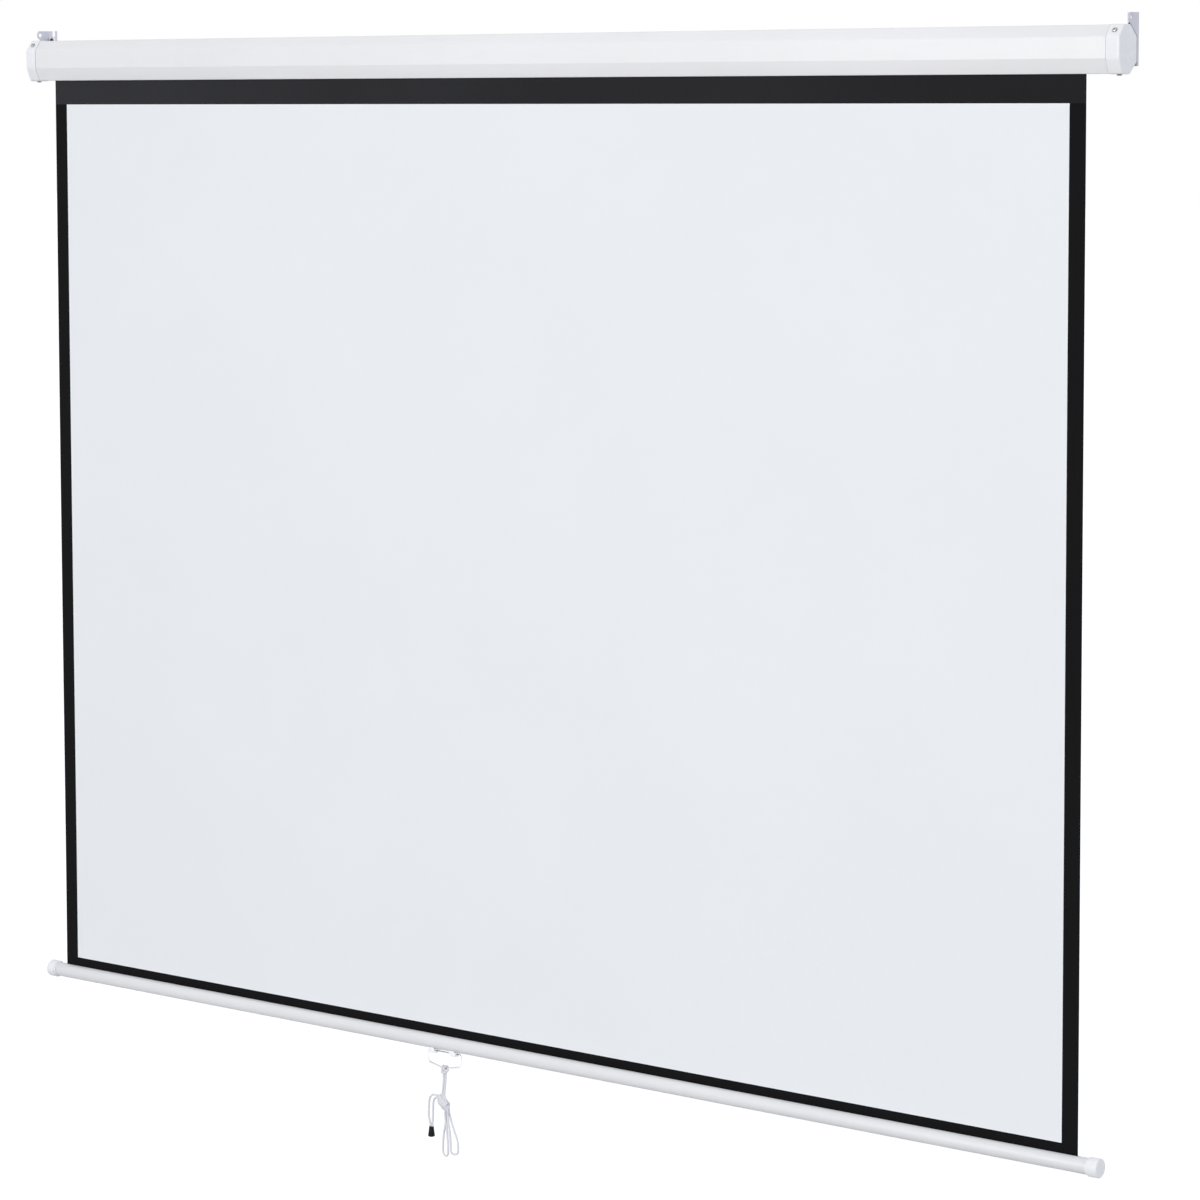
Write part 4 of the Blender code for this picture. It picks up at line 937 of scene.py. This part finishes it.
# %% Case
def make_case():
    """Fold the housing from one sheet that leaves the slot open."""
    corners = section_corners()
    points = [Vector((SLOT_REAR, HOUSING_BOTTOM))] + corners[1:] + [corners[0]]
    points.append(Vector((SLOT_FRONT, HOUSING_BOTTOM)))
    radii = [BEND_RADIUS] * (len(points) - 2) + [LIP_RADIUS, 0]
    path = rounded_path(points, radii, closed=False, parts=7)
    half = HOUSING_HALF - SEAM
    shape = extruded(path, -half, half, closed=False)
    shape = finished(shape, wall(HOUSING_WALL), soft_edges(width=0.0003, angle=50))
    return add_piece("case_sheet", shape, "housing", ("housing_shell",), sharp=30)


case = make_case()
dress(white_coat, case)

# %% [markdown]
# ## End caps
#
# Each cap is a moulded cup a little larger than the case, so its edge stands proud by less than
# a millimetre, and a spigot inside it slips into the case. Start from the section as a solid
# block, round its eight long corners and then its outer rim, open the inboard side, and give
# it walls. At the back a lug rises for the screw that holds the cap to its wall bracket.

# %% Cap sizes
CAP_START = 1.0815
CAP_END = 1.1035
CAP_MIDDLE = 1.0925
CAP_WALL = 0.003
CAP_PROUD = 0.0008
CAP_CORNER = 0.0028
CAP_RIM = 0.0016
SPIGOT_LENGTH = 0.012
SPIGOT_OVERLAP = 0.002
SPIGOT_CORNER = 0.0016
SPIGOT_WALL = 0.0015
BRACKET_THICKNESS = 0.002
LUG_REAR = -BRACKET_THICKNESS - SEAT_GAP
LUG_DEPTH = 0.003
LUG_HALF = 0.007
LUG_LOW = HOUSING_TOP - 0.030
LUG_HIGH = HOUSING_TOP + 0.0055
LUG_EDGE = 0.0009
FOOT_INSET = 0.0005
FOOT_HEIGHT = 0.012
FOOT_EDGE = 0.0008


def round_off(shape, edges, radius, segments):
    """Round some edges of a shape."""
    bmesh.ops.bevel(shape, geom=edges, offset=radius, segments=segments, profile=0.5,
                    affect="EDGES", material=-1)


def box(low, high, edge):
    """Make a block between two corners with every edge rounded."""
    shape = bmesh.new()
    bmesh.ops.create_cube(shape, size=1)
    bmesh.ops.scale(shape, vec=[b - a for a, b in zip(low, high)], verts=shape.verts)
    middle = [(a + b) / 2 for a, b in zip(low, high)]
    bmesh.ops.translate(shape, vec=middle, verts=shape.verts)
    round_off(shape, shape.edges[:], edge, segments=3)
    bmesh.ops.recalc_face_normals(shape, faces=shape.faces)
    return shape


def lies_at(item, x):
    """Say whether an edge or a face lies wholly at one place along X."""
    return all(abs(vert.co.x - x) < MERGE_DISTANCE for vert in item.verts)


def section_block(grow, start, end, corner, rim=0.0):
    """Make a block of the section with rounded corners and, if wanted, a rounded outer rim."""
    shape = extruded([tuple(point) for point in section_corners(grow)], start, end, closed=True)
    long_edges = [edge for edge in shape.edges
                  if abs(edge.verts[0].co.x - edge.verts[1].co.x) > abs(end - start) / 2]
    round_off(shape, long_edges, corner, segments=6)
    if rim:
        outer = [edge for edge in shape.edges if lies_at(edge, end)]
        round_off(shape, outer, rim, segments=5)
    return shape


def open_end(shape, x):
    """Take away the flat face that closes a block at one place along X."""
    flat = [face for face in shape.faces if lies_at(face, x)]
    bmesh.ops.delete(shape, geom=flat, context="FACES_ONLY")


def make_cap(side, label):
    """Mould one end cap: its cup, its spigot and its rear lug with a foot."""
    mouth = side * CAP_START
    cup = section_block(CAP_PROUD, mouth, side * CAP_END, CAP_CORNER, CAP_RIM)
    open_end(cup, mouth)
    cup = finished(cup, wall(CAP_WALL), soft_edges(width=0.0004, angle=60))
    ends = mouth - side * SPIGOT_LENGTH, mouth + side * SPIGOT_OVERLAP
    spigot = section_block(-HOUSING_WALL - SEAT_GAP, *ends, SPIGOT_CORNER)
    for end in ends:
        open_end(spigot, end)
    spigot = finished(spigot, wall(SPIGOT_WALL), soft_edges(width=0.0003, angle=60))
    near, far = side * CAP_MIDDLE - LUG_HALF, side * CAP_MIDDLE + LUG_HALF
    lug = box((near, LUG_REAR - LUG_DEPTH, LUG_LOW), (far, LUG_REAR, LUG_HIGH), LUG_EDGE)
    foot = box((near, HOUSING_BACK - CAP_WALL / 2, LUG_LOW),
               (far, LUG_REAR - FOOT_INSET, LUG_LOW + FOOT_HEIGHT), FOOT_EDGE)
    shape = joined([cup, spigot, lug, foot])
    return add_piece(f"cap_{label}", shape, "housing", (f"end_cap_{label}",))


caps = [make_cap(side, label) for side, label in SIDES]
dress(white_moulding, *caps)

# %% [markdown]
# ## Screws
#
# All eight screws are the same thing at different sizes: a low pan head, a cross recess, and a
# shank. A lathe makes the head, so the profile is spun. The recess is pressed into the head, so
# it is cut out with a tapered cross by a boolean. One function makes a screw that stands on a
# given place, because a repeated shape should be written once. The top of a plated head keeps
# bright metal, and its steep flank and its recess get a dark metal as painted shade, so the faces
# are sorted by how steep they are and get two metals.

# %% Screw maker
HEAD_FLANK = 0.62
HEAD_TWIST = math.radians(27)
HEAD_PROFILE = ((0, 1), (.60, .96), (.97, .52), (1, 0))
CROSS_REACH = 0.56
CROSS_HALF = 0.14
CROSS_TOP = 1.25
CROSS_DEPTH = 0.85
CROSS_TAPER = 0.55


def cross_cutter(reach, half, top, depth):
    """Make the tapered cross that presses the recess."""
    arms = []
    for a, b in ((reach, half), (half, reach)):
        arm = bmesh.new()
        bmesh.ops.create_cube(arm, size=2)
        bmesh.ops.scale(arm, vec=(a, b, depth), verts=arm.verts)
        bmesh.ops.translate(arm, vec=(0, 0, top), verts=arm.verts)
        low = [vert for vert in arm.verts if vert.co.z < top]
        bmesh.ops.scale(arm, vec=(CROSS_TAPER, CROSS_TAPER, 1), verts=low)
        arms.append(arm)
    return arms


def carved(shape, cutters):
    """Cut shapes out of a shape."""
    tools = [add_object("cutter", mesh_of("cutter", cutter)) for cutter in cutters]
    steps = [("BOOLEAN", {"operation": "DIFFERENCE", "solver": "EXACT", "object": tool})
             for tool in tools]
    result = finished(shape, *steps)
    for tool in tools:
        take_away(tool)
    return result


def screw_shape(place, outward, head_radius, head_height, radius, length):
    """Turn one pan head screw with its recess and stand it on a place."""
    corners = [(head_radius * wide, head_height * high) for wide, high in HEAD_PROFILE]
    corners += [(radius, 0), (radius, -length), (0, -length)]
    radii = [0, head_radius * .6, head_height * .35, head_height * .08, 0, 0, 0]
    profile = rounded_path(corners, radii, closed=False, parts=5)
    shape = turned(profile, (0, 0, 0), (0, 0, 1), steps=48)
    cutters = cross_cutter(head_radius * CROSS_REACH, head_radius * CROSS_HALF,
                           head_height * CROSS_TOP, head_height * CROSS_DEPTH)
    shape = carved(shape, cutters)
    # Steep faces of the head and of the recess take the second, dark metal: painted shade.
    for face in shape.faces:
        face.material_index = 1 if face.normal.z < HEAD_FLANK else 0
    twist = Matrix.Rotation(HEAD_TWIST, 4, "Z")
    bmesh.ops.transform(shape, matrix=standing(place, outward) @ twist, verts=shape.verts)
    return shape


def dress_screw(screw):
    """Give a screw bright metal on top of its head and dark metal as painted shade elsewhere."""
    screw.data.materials.append(screw_metal)
    screw.data.materials.append(dark_steel_and_painted_shade)


# %% Cap and bracket screws
SCREW = {"head_radius": 0.004, "head_height": 0.0024, "radius": 0.002}
CAP_SCREW_LENGTH = 0.009
WALL_SCREW_LENGTH = 0.0046
WALL_SCREW_Z = HOUSING_TOP + 0.0015


def face_middle(first, second):
    """Give the middle of one face of the cap, at X 0, and the way that it looks."""
    corners = section_corners(CAP_PROUD)
    low, high = corners[first], corners[second]
    along = (high - low).normalized()
    return Vector((0, *(low + high) / 2)), Vector((0, along.y, -along.x))


def make_screws(side, label):
    """Set two bright screws in the cap and one dark screw in its lug."""
    x = side * CAP_MIDDLE
    for name, first, second in (("upper", 5, 6), ("lower", 0, 1)):
        spot, out = face_middle(first, second)
        shape = screw_shape(spot + out * SEAT_GAP + Vector((x, 0, 0)), out, **SCREW,
                            length=CAP_SCREW_LENGTH)
        dress_screw(add_piece(f"screw_{name}_{label}", shape, "housing",
                              (f"cap_screw_{name}_{label}",), sharp=40))
    place = (x, LUG_REAR - LUG_DEPTH - SEAT_GAP, WALL_SCREW_Z)
    shape = screw_shape(place, (0, -1, 0), **SCREW, length=WALL_SCREW_LENGTH)
    dark = add_piece(f"screw_wall_{label}", shape, "housing", (f"bracket_screw_{label}",),
                     sharp=40)
    dress(dark_steel_and_painted_shade, dark)


for side, label in SIDES:
    make_screws(side, label)

# %% [markdown]
# ## Wall brackets
#
# A bracket is one strip of steel plate, punched and folded once. That is also the best way to
# model it. Draw the flat blank with its notch and its hole, fill it, cut it along the fold in
# narrow strips, roll those strips round the bend, and give the plate its thickness. Flat
# triangles are first joined into larger faces, because a bevel can't round the edge of a long
# sliver. The notch in the wall flange takes the wall screw. The side flange reaches forward over
# the cap in a rounded tab with a hole, by which a screen can hang from a ceiling.

# %% Bracket
BRACKET_WIDTH = 0.019
BRACKET_TOP = 0.0075
BRACKET_LOW = BRACKET_TOP - 0.077
BRACKET_CLEARANCE = 0.0007
TAB_HEIGHT = 0.015
TAB_LENGTH = 0.032
TAB_CLEARANCE = 0.0003
HOLE_RADIUS = 0.00375
FOLD_RADIUS = 0.002
FOLD_LENGTH = FOLD_RADIUS * math.pi / 2
FOLD_START = BRACKET_WIDTH - BRACKET_THICKNESS / 2 - FOLD_RADIUS
FOLD_PARTS = 8
FLAT_ANGLE = math.radians(1)


def filled(outlines):
    """Fill a flat drawing whose first outline is the edge and whose others are holes."""
    shape = bmesh.new()
    edges = []
    for outline in outlines:
        ring = [shape.verts.new((a, 0, b)) for a, b in outline]
        edges += [shape.edges.new((ring[index - 1], ring[index])) for index in range(len(ring))]
    bmesh.ops.triangle_fill(shape, use_beauty=True, use_dissolve=False, edges=edges)
    return shape


def cut_through(shape, place, way):
    """Cut all faces of a shape along a plane."""
    bmesh.ops.bisect_plane(shape, geom=shape.verts[:] + shape.edges[:] + shape.faces[:],
                           plane_co=place, plane_no=way)


def flat_place(y):
    """Give how far along the flat blank a point of the side flange lies."""
    return FOLD_START + FOLD_LENGTH + (-BRACKET_THICKNESS / 2 - FOLD_RADIUS - y)


def bracket_blank():
    """Draw the flat blank with the notch for the wall screw and the hanging hole."""
    rear_top, top_rear = section_corners(CAP_PROUD + BRACKET_CLEARANCE)[3:5]
    rear = flat_place(rear_top.x)
    outline = [(0, BRACKET_LOW), (rear, BRACKET_LOW), (rear, rear_top.y)]
    rounding = TAB_HEIGHT / 2
    middle = flat_place(rounding - TAB_LENGTH), BRACKET_TOP - rounding
    start = flat_place(top_rear.x) + TAB_CLEARANCE
    outline += [(a, b) for a, b in arc(middle, rounding, -math.pi / 2, math.pi, ARC_PARTS)
                if a > start or b > middle[1]]
    notch = CAP_MIDDLE - CAP_END + BRACKET_WIDTH
    outline.append((notch + HOLE_RADIUS, BRACKET_TOP))
    outline += arc((notch, 0), HOLE_RADIUS, 0, -math.pi, ARC_PARTS)
    outline += [(notch - HOLE_RADIUS, BRACKET_TOP), (0, BRACKET_TOP)]
    return filled([outline, circle(middle, HOLE_RADIUS, parts=40)])


def folded(shape, side):
    """Roll the blank's fold and put both flanges in their places."""
    for part in range(FOLD_PARTS + 1):
        cut_through(shape, (FOLD_START + FOLD_LENGTH * part / FOLD_PARTS, 0, 0), (1, 0, 0))
    flange_x = CAP_END - BRACKET_THICKNESS / 2
    plate_y = -BRACKET_THICKNESS / 2
    for vert in shape.verts:
        flat = vert.co.x
        if flat <= FOLD_START:
            x, y = CAP_END - BRACKET_WIDTH + flat, plate_y
        elif flat < FOLD_START + FOLD_LENGTH:
            angle = (flat - FOLD_START) / FOLD_RADIUS
            x = flange_x - FOLD_RADIUS + FOLD_RADIUS * math.sin(angle)
            y = plate_y - FOLD_RADIUS + FOLD_RADIUS * math.cos(angle)
        else:
            x, y = flange_x, plate_y - FOLD_RADIUS - (flat - FOLD_START - FOLD_LENGTH)
        vert.co = (side * x, y, vert.co.z)
    bmesh.ops.remove_doubles(shape, verts=shape.verts, dist=MERGE_DISTANCE)
    bmesh.ops.dissolve_limit(shape, angle_limit=FLAT_ANGLE, verts=shape.verts, edges=shape.edges)
    bmesh.ops.recalc_face_normals(shape, faces=shape.faces)
    return shape


def make_bracket(side, label):
    """Fold one bracket and take the sharpness off its edges."""
    shape = folded(bracket_blank(), side)
    shape = finished(shape, wall(BRACKET_THICKNESS, 0.0), soft_edges(width=0.00035, angle=50))
    return add_piece(f"bracket_{label}", shape, "housing", (f"mount_bracket_{label}",),
                     sharp=20)


brackets = [make_bracket(side, label) for side, label in SIDES]
dress(grey_coat, *brackets)

# %% [markdown]
# ## The screen cloth
#
# The cloth is a coated fabric: matt white in front, black behind, with a black border printed
# round the picture and a wider black band above it. It hangs from the front of the roller and
# the bar keeps it straight, so a simulation would leave it flat, and it is made by hand: a
# grid, cut along the border's lines, so that each face is wholly white or wholly black. Real
# cloth is never quite flat, so it waves by less than a millimetre. Its UV map holds metres on
# the cloth, which keeps the weave on it when it goes up.

# %% Cloth sizes
SHEET_Y = -0.04615
SHEET_HALF = 2.087 / 2
SHEET_THICKNESS = 0.0005
SHEET_TOP = -0.0455
SHEET_BOTTOM = -1.6627
SHEET_LENGTH = SHEET_TOP - SHEET_BOTTOM
WHITE_HALF = 1.016
WHITE_BOTTOM = -1.6465
SHEET_GRID = (120, 96)
WAVE_HEIGHT = 0.0007


def sheet_wave(x, z):
    """Give how far the cloth stands from flat, nothing at its top and bottom."""
    share = (SHEET_TOP - z) / SHEET_LENGTH
    calm = min(1, max(0, (share - 0.06) / 0.15)) * min(1, max(0, (0.985 - share) / 0.12))
    slow = math.sin(5.3 * x + 1.1) * math.sin(3.1 * z + 0.4)
    folds = math.sin(11.0 * x + 1.7 * z + 0.6)
    return WAVE_HEIGHT * calm * (0.7 * slow + 0.3 * folds)


def make_sheet():
    """Cut the cloth, colour its border by faces, and wave it."""
    shape = bmesh.new()
    bmesh.ops.create_grid(shape, x_segments=SHEET_GRID[0], y_segments=SHEET_GRID[1], size=1)
    for vert in shape.verts:
        z = (SHEET_TOP + SHEET_BOTTOM) / 2 + vert.co.y * SHEET_LENGTH / 2
        vert.co = (vert.co.x * SHEET_HALF, SHEET_Y, z)
    for x in (WHITE_HALF, -WHITE_HALF):
        cut_through(shape, (x, 0, 0), (1, 0, 0))
    for z in (WHITE_TOP, WHITE_BOTTOM):
        cut_through(shape, (0, 0, z), (0, 0, 1))
    for face in shape.faces:
        middle = face.calc_center_median()
        white = abs(middle.x) < WHITE_HALF and WHITE_BOTTOM < middle.z < WHITE_TOP
        face.material_index = 0 if white else 1
        if face.normal.y > 0:
            face.normal_flip()
    for vert in shape.verts:
        vert.co.y += sheet_wave(vert.co.x, vert.co.z)
    shape = finished(shape, ("SOLIDIFY", {
        "thickness": SHEET_THICKNESS, "offset": 0.0, "material_offset": 1}))
    cloth = shape.loops.layers.uv.new("cloth")
    for face in shape.faces:
        if face.normal.y > -0.5:
            face.material_index = 1
        for loop in face.loops:
            loop[cloth].uv = (loop.vert.co.x + CLOTH_ORIGIN, loop.vert.co.z + CLOTH_ORIGIN)
    return add_piece("screen_cloth", shape, "housing", ("screen_sheet",), sharp=60)


screen = make_sheet()
screen.data.materials.append(white_cloth)
screen.data.materials.append(black_cloth)
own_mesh(screen)
print("cloth is", round(SHEET_LENGTH, 4), "m long")

# %% [markdown]
# ### The cloth left on the roller
#
# When the screen is down, one turn of its black band is still wound on the roller. A wound
# sheet is a spiral in section, so that is what is drawn and pulled along the roller. Its outer
# end lies at the front, where the hanging cloth begins.

# %% Roll
ROLLER_Y = -0.0305
ROLLER_Z = -0.0455
ROLL_INNER = 0.01432
ROLL_OUTER = 0.01483
ROLL_THICKNESS = 0.00046
ROLL_PARTS = 96


def make_roll():
    """Wind one turn of cloth round the roller as a spiral."""
    path = []
    for part in range(ROLL_PARTS + 1):
        share = part / ROLL_PARTS
        radius = ROLL_INNER + (ROLL_OUTER - ROLL_INNER) * share
        angle = FULL_TURN * (share - 0.5)
        path.append((ROLLER_Y + radius * math.cos(angle), ROLLER_Z + radius * math.sin(angle)))
    shape = extruded(path, -SHEET_HALF, SHEET_HALF, closed=False)
    shape = finished(shape, wall(ROLL_THICKNESS, 0.0))
    cloth = shape.loops.layers.uv.new("cloth")
    for face in shape.faces:
        for loop in face.loops:
            spot = loop.vert.co
            turn = math.atan2(spot.z - ROLLER_Z, spot.y - ROLLER_Y) * ROLL_OUTER
            loop[cloth].uv = (spot.x + CLOTH_ORIGIN, turn + CLOTH_ORIGIN)
    return add_piece("wound_cloth", shape, "roller", ("fabric_roll",), sharp=50)


roll = make_roll()
dress(black_cloth, roll)

# %% [markdown]
# ## The weight bar
#
# The bar is a round steel tube, coated like the case, with a slit along its top for the cloth's
# hem. A circle with a gap at the top, pulled along and given a wall, is the whole tube. Its
# caps are moulded and a little wider than the tube, with a neck and a rounded rim.

# %% Bar
BAR_Z = -1.674
BAR_RADIUS = 0.0125
BAR_WALL = 0.0012
BAR_HALF = 2.123 / 2
BAR_SLOT = 0.0026
BAR_PARTS = 72
BAR_CAP_LENGTH = 0.032
BAR_CAP_RIM = 0.015
BAR_CAP_NECK = 0.012
BAR_CAP_PROUD = 0.0021
BAR_NECK_PROUD = 0.0007


def make_bar():
    """Roll the bar's tube with its slit on top."""
    half_slit = math.asin(BAR_SLOT / 2 / BAR_RADIUS)
    path = arc((SHEET_Y, BAR_Z), BAR_RADIUS, math.pi / 2 + half_slit, FULL_TURN - 2 * half_slit,
               BAR_PARTS)
    shape = extruded(path, -BAR_HALF, BAR_HALF, closed=False)
    shape = finished(shape, wall(BAR_WALL), soft_edges(width=0.0003, angle=60))
    return add_piece("bar_tube", shape, "bar", ("weight_bar",), sharp=30)


def make_bar_cap(side, label):
    """Turn one bar cap with its spigot, neck and rounded rim."""
    body, neck = BAR_RADIUS + BAR_CAP_PROUD, BAR_RADIUS + BAR_NECK_PROUD
    plug = BAR_RADIUS - BAR_WALL - SEAT_GAP
    corners = [(0, BAR_CAP_LENGTH), (body, BAR_CAP_LENGTH), (body, BAR_CAP_RIM),
               (neck, BAR_CAP_RIM), (neck, BAR_CAP_NECK), (plug, BAR_CAP_NECK), (plug, 0), (0, 0)]
    radii = [0, 0.0014, 0.0004, 0, 0.0003, 0, 0.0005, 0]
    profile = rounded_path(corners, radii, closed=False, parts=6)
    start = side * (BAR_HALF + SEAT_GAP - BAR_CAP_NECK)
    shape = turned(profile, (start, SHEET_Y, BAR_Z), (side, 0, 0), steps=72)
    return add_piece(f"bar_end_{label}", shape, "bar", (f"bar_cap_{label}",),
                     sharp=30)


bar = make_bar()
bar_ends = [make_bar_cap(side, label) for side, label in SIDES]
dress(bar_coat, bar)
dress(white_moulding, *bar_ends)

# %% [markdown]
# ## The handle
#
# The handle is one ring of plated wire, wide and low, with a shallow point in the middle of its
# lower side where the cord settles. Two small metal clips under the bar hold it like hinges.
# The wire is a tube along a rounded outline. A clip is drawn as its end view, with the hollow
# that hugs the bar and the round eye for the wire, and pulled to its width.

# %% Handle wire
HANDLE_X = -0.163
HANDLE_Z = -1.6905
HANDLE_HALF = 0.035
HANDLE_DROP = 0.020
HANDLE_POINT = 0.007
CORNER_BEND = 0.005
POINT_BEND = 0.026
WIRE_RADIUS = 0.0019
WIRE_STEP = 0.002


def handle_line():
    """Give the wire's closed line: a wide low loop with a shallow point below."""
    low = -HANDLE_DROP
    rise = POINT_BEND * (1 / math.cos(math.atan(HANDLE_POINT / HANDLE_HALF)) - 1)
    corners = [(-HANDLE_HALF, 0), (-HANDLE_HALF, low), (0, low - HANDLE_POINT - rise),
               (HANDLE_HALF, low), (HANDLE_HALF, 0)]
    bends = [CORNER_BEND, CORNER_BEND, POINT_BEND, CORNER_BEND, CORNER_BEND]
    path = [Vector((HANDLE_X + x, SHEET_Y, HANDLE_Z + z))
            for x, z in rounded_path(corners, bends, closed=True, parts=10)]
    path.append(path[0])
    line = []
    for here, after in zip(path, path[1:]):
        pieces = max(1, round((after - here).length / WIRE_STEP))
        line += [here.lerp(after, piece / pieces) for piece in range(pieces)]
    return line + [line[0].copy()]


handle = add_piece("handle_wire", tube(handle_line(), WIRE_RADIUS, closed=True), "handle",
                   ("handle_bail",), sharp=60)
dress(bright_metal, handle)

# %% Handle clips
CLIP_SPREAD = 0.022
CLIP_HALF_WIDTH = 0.006
CLIP_HALF_DEPTH = 0.009
CLIP_RIM = BAR_Z - 0.0095
CLIP_SHOULDER = BAR_Z - 0.0122
CLIP_LOW = HANDLE_Z - 0.0038
CLIP_SLOPE = 0.0044
CLIP_SEAT = 0.0022
CLIP_SEAT_RADIUS = 0.0025
CLIP_SCREW_Y = SHEET_Y + 0.0057
CLIP_SCREW = {"head_radius": 0.0022, "head_height": 0.0014, "radius": 0.0011, "length": 0.0060}


def clip_section():
    """Draw a clip's end view: its rounded foot, the hollow for the bar and the eye."""
    reach = BAR_RADIUS + SEAT_GAP
    spread = math.asin(CLIP_HALF_DEPTH / reach)
    hollow = arc((SHEET_Y, BAR_Z), reach, spread - math.pi / 2, -2 * spread, ARC_PARTS)
    front, back = SHEET_Y - CLIP_HALF_DEPTH, SHEET_Y + CLIP_HALF_DEPTH
    corners = [(front, CLIP_RIM), (front, CLIP_SHOULDER), (front + CLIP_SLOPE, CLIP_LOW),
               (back, CLIP_LOW), (back, CLIP_RIM)]
    foot = rounded_path(corners, [0, 0.0015, 0.003, 0.003, 0], closed=False, parts=6)
    return hollow + foot, circle((SHEET_Y, HANDLE_Z), WIRE_RADIUS + SEAT_GAP, parts=32)


def make_clip(x, label):
    """Pull a clip to its width and sink its screw's seat from below."""
    shape = filled(clip_section())
    turn = Matrix(((0, 1, 0, x - CLIP_HALF_WIDTH), (1, 0, 0, 0), (0, 0, 1, 0), (0, 0, 0, 1)))
    bmesh.ops.transform(shape, matrix=turn, verts=shape.verts)
    grown = bmesh.ops.extrude_face_region(shape, geom=shape.faces[:])
    shape = pulled(shape, grown, 2 * CLIP_HALF_WIDTH)
    seat = turned([(0, -CLIP_SEAT), (CLIP_SEAT_RADIUS, -CLIP_SEAT), (CLIP_SEAT_RADIUS, CLIP_SEAT),
                   (0, CLIP_SEAT)], (x, CLIP_SCREW_Y, CLIP_LOW), (0, 0, 1), steps=32)
    shape = finished(carved(shape, [seat]), soft_edges(width=0.0005, angle=50))
    clip = add_piece(f"clip_{label}", shape, "bar", (f"handle_clip_{label}",),
                     sharp=30)
    dress(bright_metal, clip)
    place = (x, CLIP_SCREW_Y, CLIP_LOW + CLIP_SEAT - SEAT_GAP)
    dress_screw(add_piece(f"screw_clip_{label}", screw_shape(place, (0, 0, -1), **CLIP_SCREW),
                          "bar", (f"clip_screw_{label}",), sharp=40))


for side, label in SIDES:
    make_clip(HANDLE_X + side * CLIP_SPREAD, label)

# %% [markdown]
# ## Parts inside
#
# The roller, its spring and ratchet, the plates in the caps and the rod in the hem are right as
# they are packed, and hardly anything of them is seen. They keep their shapes and only get
# their metals and plastics.

# %% Finishes of the parts inside
dress(plain_metal, "support_plate_left", "support_plate_right", "spring_arbor", "spring_anchor",
      "torsion_spring", "ratchet_wheel", "pawl_a", "pawl_b")
dress(bright_metal, "idle_pin", "pawl_pin_a", "pawl_pin_b")
dress(tube_metal, "roller_tube")
dress(white_moulding, "roller_plug_left", "roller_plug_right", "hem_rod")
dress(black_moulding, "idle_bush")
